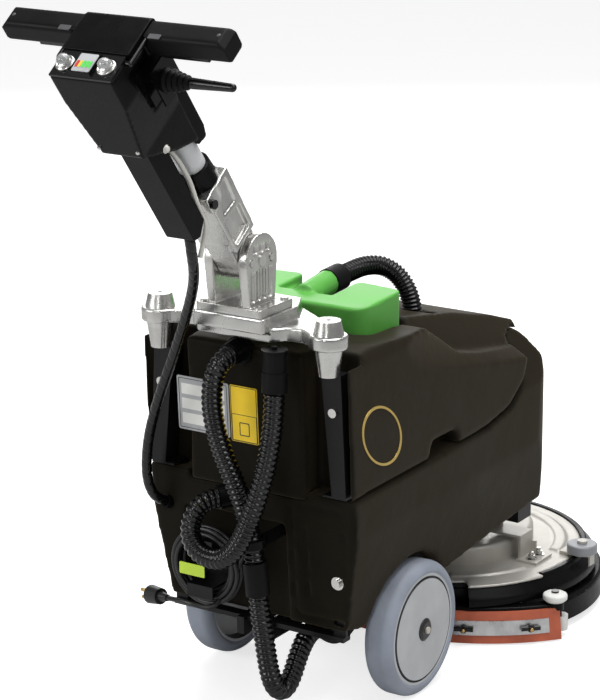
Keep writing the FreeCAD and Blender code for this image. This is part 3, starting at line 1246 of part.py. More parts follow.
def wheel_cover(side):
    """Pale disc that closes the wheel's outer side."""
    edge = WHEEL_RADIUS - TYRE_DEPTH - 6.0
    x1 = WHEEL_OUTER_X
    face = [(x1 - 5.0, 17.0), (x1 - 5.0, edge), (x1 - 1.0, edge, 1.5), (x1 + 1.0, 40.0), (x1 + 1.0, 17.0)]
    return spun_about_x(face, side)


def hub_cap(side):
    """Black hub cap with a raised screw."""
    x1 = WHEEL_OUTER_X
    face = [(x1 - 5.0, 0.0), (x1 - 5.0, 16.5), (x1 + 2.0, 16.5, 1.5), (x1 + HUB_DEPTH, 12.0),
            (x1 + HUB_DEPTH, 0.0)]
    cap = spun_about_x(face, side)
    screw = rod(5.0, V(side * (x1 + HUB_DEPTH), 0, WHEEL_RADIUS),
                V(side * (x1 + HUB_DEPTH + 3.0), 0, WHEEL_RADIUS))
    return fuse([cap, screw])


# ---- lid and hoses ---------------------------------------------------------------------------------
def tank_lid():
    """Bright lid: two lobes joined behind by a bridge, with a round duct boss between them."""
    half = LID_HALF_WIDTH
    low = TANK_TOP_Z - 23.5
    plan = [(-half, -60.0, 14.0), (half - 4.0, -60.0, 22.0), (half, 48.0, 16.0), (36.0, 56.0, 12.0),
            (26.0, 2.0, 12.0), (-50.0, 2.0, 12.0), (-60.0, 56.0, 12.0), (-half, 52.0, 16.0)]
    body = plan_prism(plan, low, LID_TOP_Z)
    slope = side_prism([(-80.0, LID_TOP_Z + 8.0), (-80.0, LID_TOP_Z - 8.0), (60.0, LID_TOP_Z),
                        (60.0, LID_TOP_Z + 8.0)],
                       -140.0, 140.0)
    valley = box(-58.0, 34.0, -16.0, 60.0, LID_TOP_Z - 14.0, LID_TOP_Z + 10.0)
    body = keep_out(body, slope, valley)
    boss = rod(HOSE_OD / 2.0 + 4.0, V(BOSS_X, -18.0, BOSS_Z - 8.0), V(BOSS_X, BOSS_END_Y, BOSS_Z))
    inner = plan_prism([(-half + 8.0, -52.0, 8.0), (half - 12.0, -52.0, 12.0), (half - 8.0, 42.0, 8.0),
                        (44.0, 46.0, 6.0), (32.0, -6.0, 6.0), (-56.0, -6.0, 6.0), (-66.0, 46.0, 6.0),
                        (-half + 8.0, 44.0, 8.0)], low - 1.0, LID_TOP_Z - 24.0)
    whole = keep_out(fuse([body, boss]), inner)
    return keep_out(whole, rod(HOSE_OD / 2.0 - 3.0, V(BOSS_X, 10.0, BOSS_Z - 4.0),
                               V(BOSS_X, BOSS_END_Y + 5.0, BOSS_Z)))


def lid_cuff(lid):
    """Black cuff on the lid's duct boss."""
    end = V(*LID_HOSE_POINTS[0])
    return keep_out(rod(HOSE_OD / 2.0 + 5.0, V(BOSS_X, BOSS_END_Y - 2.0, BOSS_Z), end), lid)


def loom_run():
    """Last point of the loom and the direction it goes in at."""
    end = V(*LOOM_POINTS[-1])
    return end, (end - V(*LOOM_POINTS[-2])).normalize()


def loom_socket_bore():
    """Round socket that the loom goes into."""
    end, along = loom_run()
    return rod(LOOM_OD / 2.0 + 3.0, end - along * 40.0, end)


def loom_grommet():
    """Rubber ring in the socket round the loom."""
    end, along = loom_run()
    ring = rod(LOOM_OD / 2.0 + 2.9, end - along * 10.0, end)
    return keep_out(ring, rod(LOOM_OD / 2.0 + 0.4, end - along * 20.0, end + along * 10.0))


def upper_port(tank):
    """Elbow on the upper tank's back that the suction hose hangs from."""
    end = V(*VACUUM_UPPER_POINTS[0])
    along = (V(*VACUUM_UPPER_POINTS[1]) - end).normalize()
    flange = rod(HOSE_OD / 2.0 + 6.0, V(end.x, -190.0, end.z + 1.0), V(end.x, -200.0, end.z + 1.0))
    nose = rod(HOSE_OD / 2.0 + 2.0, end - along * 32.0, end)
    return keep_out(fuse([flange, nose]), tank)


def lower_port(tank):
    """Drain elbow low on the upper tank's back."""
    radius = HOSE_OD / 2.0 + 2.5
    end = V(*DRAIN_POINTS[0])
    bend = end - (V(*DRAIN_POINTS[1]) - end).normalize() * 22.0
    stub = rod(radius, V(bend.x, BODY_REAR_Y, bend.z), bend)
    whole = fuse([stub, rod(radius, bend, end), Part.makeSphere(radius, bend)])
    room = box(-80.0, 80.0, BODY_REAR_Y - 5.0, -100.0, 250.0, 400.0)
    return keep_out(whole, room, tank)


def hose_cuffs():
    """Cuffs on the hoses: the suction hose's joint and the drain hose's hanging end."""
    joint = rod(HOSE_OD / 2.0 + 2.5, V(*VACUUM_UPPER_POINTS[-1]), V(*VACUUM_LOWER_POINTS[0]))
    end = V(*DRAIN_POINTS[-1])
    hanger = fuse([rod(HOSE_OD / 2.0 + 3.0, end, end + V(-1.0, 2.0, 28.0)),
                   rod(HOSE_OD / 2.0 + 1.5, end + V(-1.0, 2.0, 28.0), end + V(-2.0, 4.0, 56.0))])
    return [joint, hanger]


def drain_plug(cuffs):
    """Plug in the drain hose's end, hung from a pin under the yoke."""
    end = V(*DRAIN_POINTS[-1]) + V(-2.0, 4.0, 56.0)
    disc = rod(HOSE_OD / 2.0 + 3.5, end, end + V(0, 0, 4.0))
    top = V(end.x, end.y, YOKE_Z)
    return keep_out(fuse([disc, rod(4.0, end + V(0, 0, 3.0), top)]), *cuffs)


def hose_clip():
    """Spring clip on the lower tank that holds the suction hose."""
    at = V(*VACUUM_UPPER_POINTS[-2])
    ring = keep_out(rod(HOSE_OD / 2.0 + 5.0, at + V(0.3, 0.5, -6.0), at + V(-0.3, -0.5, 6.0)),
                    rod(HOSE_OD / 2.0 + 1.5, at + V(1.0, 1.7, -20.0), at + V(-1.0, -1.7, 20.0)))
    stem = box(at.x + 2.0, at.x + 14.0, at.y + HOSE_OD / 2.0 + 2.0, BODY_REAR_Y + 24.0, at.z - 6.0,
               at.z + 6.0)
    return fuse([ring, stem])


def cord_bracket():
    """Steel bracket with two arms that the charger cord is wound round."""
    x, y, z = COIL_CENTRE
    half = 22.0
    reach = COIL_RADIUS - COIL_BUNDLE - 9.0
    back = box(x - half, x + half, -161.0, -158.0, z - reach, z + reach)
    arms = [box(x - half, x + half, y - COIL_BUNDLE - 6.0, -158.0, z + s * reach, z + s * (reach - 3.0))
            for s in (-1.0, 1.0)]
    lips = [box(x - half, x + half, y - COIL_BUNDLE - 6.0, y - COIL_BUNDLE - 3.0, z + s * (reach - 3.0),
                z + s * (reach + 16.0)) for s in (-1.0, 1.0)]
    return fuse([back] + arms + lips)


def charger_coil():
    """Outer shape of the wound charger cord."""
    return Part.makeTorus(COIL_RADIUS, COIL_BUNDLE, V(*COIL_CENTRE), Y)


def cord_gland():
    x, y, z = CORD_IN_POINTS[0]
    return keep_out(cone(7.0, 5.5, V(x, -158.0, z), V(x, y - 4.0, z)),
                    rod(CORD_OD / 2.0 + 0.8, V(x, -150.0, z), V(x, -180.0, z)))


def charger_plug():
    """Three-pin mains plug with its strain relief."""
    start = V(*CORD_OUT_POINTS[-1])
    away = (start - V(*CORD_OUT_POINTS[-2])).normalize()
    relief = cone(5.0, 8.0, start, start + away * 16.0)
    body = cone(12.0, 14.0, start + away * 16.0, start + away * 40.0)
    face = start + away * 40.0
    across = away.cross(Y).normalize()
    up = away.cross(across).normalize()
    blades = [rod(2.2, face + across * 5.5 * s + up * 3.0, face + across * 5.5 * s + up * 3.0 + away * 17.0)
              for s in (-1.0, 1.0)]
    blades.append(rod(2.6, face - up * 6.0, face - up * 6.0 + away * 20.0))
    return fuse([relief, body] + blades)


# ---- every piece by its node name --------------------------------------------------------------------
def node_pieces():
    """Every node's solids by name, before they are moved to the machine's own origin."""
    sides = (-1.0, 1.0)
    tank = recovery_tank()
    lid = tank_lid()
    cuffs = hose_cuffs()
    nodes = {
        "solution_tank": [solution_tank()],
        "recovery_tank": [tank],
        "batteries": batteries(),
        "vacuum_motor": [vacuum_motor()],
        "fasteners": [panel_bolt()] + upright_bolts() + deck_bolts() + hinge_screws(),
        "base_frame": [base_frame()] + [upright(s) for s in sides],
        "wheel_axle": [wheel_axle()],
        "posts": posts() + post_caps(),
        "yoke": [yoke()],
        "hinge_base": [hinge_base()],
        "pivot_pin": [pivot_pin()],
        "handle_arm": [handle_arm()],
        "handle_tube": [handle_tube()],
        "tube_collar": [tube_collar()],
        "head_housing": [head_housing(), head_cover()],
        "control_panel": [control_panel(), battery_gauge()],
        "bar_cover": [bar_cover()],
        "handlebar": [handlebar()],
        "grips": [grip(s) for s in sides],
        "cable_box": [cable_box()],
        "handle_fittings": [clamp_screw(), lever_bracket(), control_board()] + bail_rods(),
        "lever_boot": [lever_boot()],
        "lever": [lever()],
        "deck_plate": [deck_plate()],
        "deck_housing": [deck_housing()],
        "brush_motor": [motor_drum(), gear_motor()],
        "deck_brackets": [deck_bracket(s) for s in sides] + [bumper_bracket(s) for s in sides],
        "brush": [brush()],
        "squeegee_ring": [squeegee_ring()],
        "squeegee_body": [squeegee_body()],
        "blades": [rear_blade(), front_blade()],
        "blade_strap": [blade_strap()],
        "wing_nuts": wing_nuts() + squeegee_roller_bolts(),
        "blade_caps": blade_caps(),
        "tank_lid": [lid],
        "lid_cuff": [lid_cuff(lid)],
        "hose_fittings": [upper_port(tank), lower_port(tank), hose_clip(), drain_plug(cuffs),
                          loom_grommet(),
                          cord_gland()],
        "hose_cuffs": cuffs,
        "cord_bracket": [cord_bracket()],
        "charger_coil": [charger_coil()],
        "charger_plug": [charger_plug()],
        "charger_cord": [cord_tube(CORD_IN_POINTS, CORD_OD / 2.0, "charger cord to coil"),
                         cord_tube(CORD_OUT_POINTS, CORD_OD / 2.0, "charger cord to plug")],
        "lid_hose": [cord_tube(LID_HOSE_POINTS, HOSE_OD / 2.0, "lid hose")],
        "vacuum_hose_upper": [cord_tube(VACUUM_UPPER_POINTS, HOSE_OD / 2.0, "vacuum hose, upper")],
        "vacuum_hose_lower": [cord_tube(VACUUM_LOWER_POINTS, HOSE_OD / 2.0, "vacuum hose, lower")],
        "drain_hose": [cord_tube(DRAIN_POINTS, HOSE_OD / 2.0, "drain hose")],
        "wiring_loom": [cord_tube(LOOM_POINTS, LOOM_OD / 2.0, "wiring loom")],
        "control_cable": [cord_tube(WHITE_CABLE_POINTS, WHITE_CABLE_OD / 2.0, "control cable")],
    }
    for side, word in SIDES:
        nodes["trigger_" + word] = [trigger(side)]
        nodes["button_" + word] = [button(BUTTON_XS[0] if side < 0 else BUTTON_XS[1])]
        nodes["bumper_roller_" + word] = [bumper_roller(side)]
        nodes["squeegee_roller_" + word] = [squeegee_roller(side)]
        nodes["tyre_" + word] = [tyre(side)]
        nodes["rim_" + word] = [rim(side), wheel_cover(side), hub_cap(side)]
    return nodes


def write_nodes():
    """Move every node to the machine's origin and write one file for each."""
    print("axle shift", round(AXLE_SHIFT, 2))
    for name, solids in node_pieces().items():
        shape = solids[0] if len(solids) == 1 else Part.makeCompound(solids)
        shape.translate(V(0, AXLE_SHIFT, 0))
        low = shape.BoundBox
        print(name, "solids", len(shape.Solids), "valid", shape.isValid(), "low", round(low.ZMin, 1))
        shape.exportStep("parts/" + name + ".step")


write_nodes()
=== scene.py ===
"""Walk-behind wet dry floor scrubber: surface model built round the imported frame.

Every position is written with the wheel axle at y = 0, +Y forward, in millimetres, and goes
through at() or on_handle() into the frame's metres.
"""
import math

import bmesh
import bpy
import numpy as np
from mathutils import Matrix, Vector


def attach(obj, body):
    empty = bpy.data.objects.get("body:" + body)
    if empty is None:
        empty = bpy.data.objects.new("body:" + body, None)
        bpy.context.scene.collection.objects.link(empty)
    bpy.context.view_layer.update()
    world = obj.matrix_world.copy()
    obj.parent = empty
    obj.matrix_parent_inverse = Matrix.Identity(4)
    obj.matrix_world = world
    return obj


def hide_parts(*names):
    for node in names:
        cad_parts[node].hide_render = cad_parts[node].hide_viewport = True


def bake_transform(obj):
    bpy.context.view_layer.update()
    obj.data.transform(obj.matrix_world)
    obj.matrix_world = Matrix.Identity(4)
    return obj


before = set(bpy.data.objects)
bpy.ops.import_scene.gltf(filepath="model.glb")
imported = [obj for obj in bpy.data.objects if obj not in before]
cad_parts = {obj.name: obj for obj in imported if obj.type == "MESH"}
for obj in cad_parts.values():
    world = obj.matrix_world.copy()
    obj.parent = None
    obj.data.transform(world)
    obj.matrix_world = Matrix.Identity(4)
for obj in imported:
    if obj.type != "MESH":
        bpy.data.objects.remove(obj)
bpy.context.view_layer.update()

MM = 0.001
AXLE_Y = -45.55
WHEEL_RADIUS = 101.6
PIVOT = (0.0, -198.0, 682.0)
LEAN_SIN = 0.6
LEAN_COS = 0.8
SIDES = ((-1.0, "left"), (1.0, "right"))
HOSE_DIAMETER = 30.0
LOOM_DIAMETER = 15.0
CORD_DIAMETER = 7.5
CABLE_DIAMETER = 7.0
COIL_CENTRE = (-68.0, -194.0, 215.0)
COIL_RADIUS = 51.0
COIL_START = -5.0
COIL_SWEEP = 58.0 + 360.0 * 6
COIL_STEP = 24.0
BUNDLE_RADIUS = 7.7
PANEL_FOOT = (-186.0, 353.0)
PANEL_LEAN = 10.0
PANEL_HEIGHT = 201.0
RATING_PLACE = (-71.5, 453.5)
NOTICE_X = -2.0
BADGE_CENTRE = (-108.0, 428.0)
BADGE_HALF_LENGTH = 50.8
BADGE_HALF_HEIGHT = 42.3
BADGE_LEAN = 12.4
FLANK_X = 175.0
FLANK_TAPER = 3.0
FLANK_FOOT_Z = 290.0
FLANK_HEIGHT = 272.0
BOOT_FOOT = (0.0, -20.0, 377.0)
BOOT_SPAN = (60.0, 93.0)
BUTTON_XS = (-34.0, 30.0)
BUTTON_PLACE = (-76.0, 450.0)
HEAD_SCREW_XS = (-31.0, 30.0)
BLADE_CENTRE = (0.0, 490.0, 27.0)
BLADE_RADIUS = 336.0
BLADE_STUD_ANGLES = (-43.0, -25.0, 25.0, 43.0)
PLUG_LENGTH = 40.0
HOSE_PITCH = 8.0
HOSE_RIB_DEPTH = 2.3
HOSE_SIDES = 24
RIB_SHARPNESS = 1.4
LOOM_PITCH = 17.0
LOOM_GROOVE_DEPTH = 1.3
LOOM_SIDES = 20
NOISE_ROUGHNESS = 0.55
WELD_DISTANCE = 0.00001

LID_HOSE = [(-11.0, 76.0, 592.0), (-8.0, 100.0, 595.0), (0.0, 128.0, 599.0), (16.0, 151.0, 597.0),
            (34.0, 164.0, 583.0), (49.0, 168.0, 562.0), (58.0, 169.0, 537.0), (60.0, 170.0, 512.0)]
VACUUM_UPPER = [(-5.0, -222.0, 546.0), (-6.0, -238.0, 543.0), (-10.0, -251.0, 528.0), (-13.0, -254.0, 504.0),
                (-14.0, -253.0, 476.0), (-10.0, -251.0, 446.0), (0.0, -250.0, 414.0), (14.0, -249.0, 384.0),
                (27.0, -246.0, 352.0), (35.0, -241.0, 318.0), (39.0, -236.0, 284.0), (41.0, -233.0, 254.0)]
VACUUM_LOWER = [(46.0, -233.0, 206.0), (51.0, -235.0, 180.0), (58.0, -238.0, 150.0), (64.0, -240.0, 120.0),
                (69.0, -240.0, 94.0), (73.0, -235.0, 74.0), (75.0, -222.0, 62.0), (75.0, -206.0, 62.0),
                (74.0, -190.0, 74.0), (72.0, -174.0, 92.0), (70.0, -157.0, 108.0), (68.0, -137.0, 118.0),
                (65.0, -112.0, 118.0), (60.0, -84.0, 106.0), (53.0, -56.0, 88.0), (45.0, -28.0, 74.0),
                (36.0, 4.0, 68.0), (26.0, 38.0, 68.0), (15.0, 74.0, 74.0), (6.0, 106.0, 81.0),
                (0.0, 132.0, 86.0), (0.0, 158.0, 86.0)]
DRAIN = [(-34.0, -214.0, 330.0), (-44.0, -228.0, 328.0), (-52.0, -243.0, 316.0), (-54.0, -253.0, 298.0),
         (-49.0, -260.0, 279.0), (-34.0, -265.0, 265.0), (-12.0, -269.0, 260.0), (12.0, -272.0, 264.0),
         (32.0, -274.0, 279.0), (48.0, -275.0, 302.0), (60.0, -272.0, 332.0), (68.0, -263.0, 364.0),
         (73.0, -252.0, 398.0), (76.0, -243.0, 434.0), (77.0, -235.0, 472.0), (75.0, -230.0, 508.0)]
LOOM = [(6.0, -327.0, 738.0), (6.0, -322.0, 712.0), (-2.0, -306.0, 684.0), (-20.0, -285.0, 652.0),
        (-42.0, -268.0, 614.0), (-62.0, -257.0, 576.0), (-83.0, -247.0, 537.0), (-104.0, -240.0, 497.0),
        (-124.0, -233.0, 456.0), (-142.0, -226.0, 414.0), (-153.0, -220.0, 374.0), (-157.0, -215.0, 338.0),
        (-154.0, -207.0, 312.0), (-149.0, -192.0, 298.0), (-146.0, -176.0, 292.0)]
CONTROL_CABLE = [(12.0, -383.2, 870.6), (15.0, -366.8, 855.4), (17.0, -352.2, 835.1), (16.0, -336.8, 815.4),
                 (18.0, -328.4, 791.2), (17.0, -316.4, 771.9), (20.0, -305.0, 754.4), (12.0, -303.0, 728.0),
                 (8.0, -306.0, 706.0)]
CORD_IN = [(18.0, -160.0, 262.0), (17.0, -172.0, 262.0), (11.0, -184.0, 259.0), (0.0, -191.0, 250.0),
           (-9.0, -194.0, 236.0)]
CORD_OUT = [(-42.0, -204.0, 164.0), (-55.0, -216.0, 158.0), (-75.0, -222.0, 162.0), (-95.0, -221.0, 163.0),
            (-112.0, -217.0, 160.0), (-126.0, -213.0, 158.0)]


def at(x, y, z):
    """Point given from the wheel axle in millimetres, as a point of the frame in metres."""
    return Vector((x, y + AXLE_Y, z)) * MM


def on_handle(x, n, s):
    """Point given as x, n (up and forward of the tube) and s (along it), in the frame."""
    return at(x, PIVOT[1] - LEAN_SIN * s + LEAN_COS * n, PIVOT[2] + LEAN_COS * s + LEAN_SIN * n)


HANDLE_ALONG = Vector((0.0, -LEAN_SIN, LEAN_COS))
HANDLE_NORMAL = Vector((0.0, LEAN_COS, LEAN_SIN))
X_AXIS = Vector((1.0, 0.0, 0.0))
Y_AXIS = Vector((0.0, 1.0, 0.0))
Z_AXIS = Vector((0.0, 0.0, 1.0))


# ---- shader node groups -------------------------------------------------------------------------
def new_group(name, inputs, outputs):
    """Empty shader group with named sockets: (kind, name, default)."""
    group = bpy.data.node_groups.new(name, "ShaderNodeTree")
    for kind, label, default in inputs:
        socket = group.interface.new_socket(label, in_out="INPUT", socket_type="NodeSocket" + kind)
        if default is not None:
            socket.default_value = default
    for kind, label in outputs:
        group.interface.new_socket(label, in_out="OUTPUT", socket_type="NodeSocket" + kind)
    return group, group.nodes.new("NodeGroupInput"), group.nodes.new("NodeGroupOutput")


def math_node(tree, operation, a, b, clamp=False):
    """One arithmetic step on two values, each a number or a socket."""
    node = tree.nodes.new("ShaderNodeMath")
    node.operation = operation
    node.use_clamp = clamp
    for socket, value in zip(node.inputs, (a, b)):
        if isinstance(value, (int, float)):
            socket.default_value = value
        else:
            tree.links.new(value, socket)
    return node.outputs[0]


def noise(tree, vector, scale, detail):
    """Cloudy value about one half, at a scale and with a number of finer layers."""
    node = tree.nodes.new("ShaderNodeTexNoise")
    node.inputs["Detail"].default_value = detail
    node.inputs["Roughness"].default_value = NOISE_ROUGHNESS
    tree.links.new(vector, node.inputs["Vector"])
    if isinstance(scale, float):
        node.inputs["Scale"].default_value = scale
    else:
        tree.links.new(scale, node.inputs["Scale"])
    return node.outputs["Fac"]


def ramp(tree, value, low, high, to_low=0.0, to_high=1.0):
    """Straight ramp: low to high becomes to_low to to_high, and stops at both ends."""
    node = tree.nodes.new("ShaderNodeMapRange")
    tree.links.new(value, node.inputs["Value"])
    for label, number in zip(("From Min", "From Max", "To Min", "To Max"), (low, high, to_low, to_high)):
        node.inputs[label].default_value = number
    return node.outputs[0]


def blend_colour(tree, share, first, second):
    """Colour between two, by a share from 0 to 1."""
    node = tree.nodes.new("ShaderNodeMix")
    node.data_type = "RGBA"
    for socket, value in ((node.inputs[0], share), (node.inputs[6], first), (node.inputs[7], second)):
        if isinstance(value, (float, tuple)):
            socket.default_value = value
        else:
            tree.links.new(value, socket)
    return node.outputs[2]


def mottle_group():
    """Slow uneven tone of a moulded, cast or painted surface, and a mask of it."""
    group, source, result = new_group("uneven_tone", [("Vector", "Place", None), ("Color", "Color", None),
                                                      ("Float", "Scale", 12.0), ("Float", "Amount", 0.15)],
                                      [("Color", "Color"), ("Float", "Mask")])
    field = noise(group, source.outputs["Place"], source.outputs["Scale"], 4.0)
    mask = ramp(group, field, 0.3, 0.7)
    swing = math_node(group, "MULTIPLY", math_node(group, "SUBTRACT", mask, 0.5), source.outputs["Amount"])
    gain = math_node(group, "ADD", math_node(group, "MULTIPLY", swing, 2.0), 1.0)
    scaled = group.nodes.new("ShaderNodeVectorMath")
    scaled.operation = "SCALE"
    group.links.new(source.outputs["Color"], scaled.inputs[0])
    group.links.new(gain, scaled.inputs["Scale"])
    group.links.new(scaled.outputs[0], result.inputs["Color"])
    group.links.new(mask, result.inputs["Mask"])
    return group


def grain_group():
    """Fine relief: small pits over a slower waviness, as a normal."""
    group, source, result = new_group("fine_relief", [("Vector", "Place", None), ("Float", "Scale", 600.0),
                                                      ("Float", "Depth", 0.0001), ("Float", "Wave", 0.0002)],
                                      [("Vector", "Normal")])
    cells = group.nodes.new("ShaderNodeTexVoronoi")
    group.links.new(source.outputs["Place"], cells.inputs["Vector"])
    group.links.new(source.outputs["Scale"], cells.inputs["Scale"])
    fine = noise(group, source.outputs["Place"], source.outputs["Scale"], 2.0)
    slow = noise(group, source.outputs["Place"], 22.0, 2.0)
    pits = math_node(group, "MULTIPLY", math_node(group, "ADD", cells.outputs["Distance"], fine), 0.5)
    height = math_node(group, "ADD", math_node(group, "MULTIPLY", pits, source.outputs["Depth"]),
                       math_node(group, "MULTIPLY", slow, source.outputs["Wave"]))
    bump = group.nodes.new("ShaderNodeBump")
    bump.inputs["Distance"].default_value = 1.0
    group.links.new(height, bump.inputs["Height"])
    group.links.new(bump.outputs["Normal"], result.inputs["Normal"])
    return group


def worn_edge_group():
    """Mask of convex edges, broken up by noise, where paint and skin rub bright."""
    group, source, result = new_group("worn_edges", [("Vector", "Place", None), ("Float", "Reach", 0.5)],
                                      [("Float", "Mask")])
    shape = group.nodes.new("ShaderNodeNewGeometry")
    convex = ramp(group, shape.outputs["Pointiness"], 0.53, 0.62)
    broken = ramp(group, noise(group, source.outputs["Place"], 90.0, 4.0), 0.35, 0.65)
    rubbed = math_node(group, "MULTIPLY", convex, broken)
    mask = math_node(group, "MULTIPLY", rubbed, source.outputs["Reach"], True)
    group.links.new(mask, result.inputs["Mask"])
    return group


def dust_group():
    """Mask of dust on faces that look up, thicker in patches."""
    group, source, result = new_group("settled_dust", [("Vector", "Place", None), ("Float", "Amount", 0.2)],
                                      [("Float", "Mask")])
    shape = group.nodes.new("ShaderNodeNewGeometry")
    split = group.nodes.new("ShaderNodeSeparateXYZ")
    group.links.new(shape.outputs["Normal"], split.inputs[0])
    upward = ramp(group, split.outputs[2], 0.3, 1.0)
    patch = ramp(group, noise(group, source.outputs["Place"], 30.0, 5.0), 0.35, 0.75)
    settled = math_node(group, "MULTIPLY", upward, patch)
    mask = math_node(group, "MULTIPLY", settled, source.outputs["Amount"], True)
    group.links.new(mask, result.inputs["Mask"])
    return group


def rings_group():
    """Distance from the wheel axle in millimetres, for coats that change from hub to tread."""
    group, source, result = new_group("axle_distance", [("Vector", "Place", None)], [("Float", "Distance")])
    flat = group.nodes.new("ShaderNodeVectorMath")
    flat.operation = "SUBTRACT"
    group.links.new(source.outputs["Place"], flat.inputs[0])
    flat.inputs[1].default_value = (0.0, AXLE_Y * MM, WHEEL_RADIUS * MM)
    side = group.nodes.new("ShaderNodeVectorMath")
    side.operation = "MULTIPLY"
    group.links.new(flat.outputs[0], side.inputs[0])
    side.inputs[1].default_value = (0.0, 1.0 / MM, 1.0 / MM)
    length = group.nodes.new("ShaderNodeVectorMath")
    length.operation = "LENGTH"
    group.links.new(side.outputs[0], length.inputs[0])
    group.links.new(length.outputs["Value"], result.inputs["Distance"])
    return group


GROUPS = {"tone": mottle_group(), "grain": grain_group(), "edges": worn_edge_group(), "dust": dust_group(),
          "rings": rings_group()}


def use_group(tree, key, place, **values):
    """Node of a shared effect in a material, with its own values."""
    node = tree.nodes.new("ShaderNodeGroup")
    node.node_tree = GROUPS[key]
    tree.links.new(place, node.inputs["Place"])
    for label, value in values.items():
        socket = node.inputs[label]
        if isinstance(value, bpy.types.NodeSocket):
            tree.links.new(value, socket)
        else:
            socket.default_value = value
    return node


def finish(name, colour, rough, metallic=0.0, coat=0.0, specular=0.5, tone=(14.0, 0.12),
           grain=(700.0, 0.00005), wave=0.0, edges=0.0, edge_colour=(0.7, 0.68, 0.64), dust=0.0,
           rough_swing=0.08, paint=None, transmission=0.0, sheen=0.0):
    """Procedural finish: tone, rubbed edges and dust in the colour, and relief in the normal."""
    material = bpy.data.materials.new(name)
    material.use_nodes = True
    tree = material.node_tree
    shader = tree.nodes["Principled BSDF"]
    place = tree.nodes.new("ShaderNodeTexCoord").outputs["Object"]
    base = tree.nodes.new("ShaderNodeRGB")
    base.outputs[0].default_value = (*colour, 1.0)
    shade = base.outputs[0]
    if paint:
        shade = paint(tree, place, shade)
    toned = use_group(tree, "tone", place, Color=shade, Scale=tone[0], Amount=tone[1])
    shade = toned.outputs["Color"]
    if edges:
        mask = use_group(tree, "edges", place, Reach=edges).outputs["Mask"]
        shade = blend_colour(tree, mask, shade, (*edge_colour, 1.0))
    if dust:
        mask = use_group(tree, "dust", place, Amount=dust).outputs["Mask"]
        shade = blend_colour(tree, mask, shade, (0.42, 0.41, 0.39, 1.0))
    tree.links.new(shade, shader.inputs["Base Color"])
    tree.links.new(ramp(tree, toned.outputs["Mask"], 0.0, 1.0, rough - rough_swing, rough + rough_swing),
                   shader.inputs["Roughness"])
    relief = use_group(tree, "grain", place, Scale=grain[0], Depth=grain[1], Wave=wave)
    tree.links.new(relief.outputs["Normal"], shader.inputs["Normal"])
    shader.inputs["Metallic"].default_value = metallic
    shader.inputs["Coat Weight"].default_value = coat
    shader.inputs["Coat Roughness"].default_value = 0.08
    shader.inputs["Specular IOR Level"].default_value = specular
    shader.inputs["Transmission Weight"].default_value = transmission
    shader.inputs["Sheen Weight"].default_value = sheen
    shader.inputs["Sheen Roughness"].default_value = 0.5
    shader.inputs["Sheen Tint"].default_value = (1.0, 0.82, 0.56, 1.0)
    return material


def wheel_paint(tree, place, shade):
    """Pale cover with painted shade in the ring of its groove, a black cap on the hub and a bright screw."""
    distance = use_group(tree, "rings", place).outputs["Distance"]
    hub = math_node(tree, "LESS_THAN", distance, 17.2)
    screw = math_node(tree, "LESS_THAN", distance, 5.2)
    groove_shade = math_node(tree, "MULTIPLY", math_node(tree, "GREATER_THAN", distance, 76.0),
                       math_node(tree, "LESS_THAN", distance, 79.6))
    # the near-black ring is painted shade where the cover's groove is
    shade = blend_colour(tree, groove_shade, shade, (0.03, 0.03, 0.033, 1.0))
    shade = blend_colour(tree, hub, shade, (0.015, 0.015, 0.016, 1.0))
    return blend_colour(tree, screw, shade, (0.55, 0.52, 0.45, 1.0))


def bristle_paint(tree, place, shade):
    """Fine upright streaks round the brush."""
    wave = tree.nodes.new("ShaderNodeTexWave")
    wave.wave_type = "BANDS"
    wave.bands_direction = "DIAGONAL"
    wave.inputs["Scale"].default_value = 220.0
    wave.inputs["Distortion"].default_value = 6.0
    tree.links.new(place, wave.inputs["Vector"])
    return blend_colour(tree, wave.outputs["Fac"], shade, (0.16, 0.15, 0.14, 1.0))


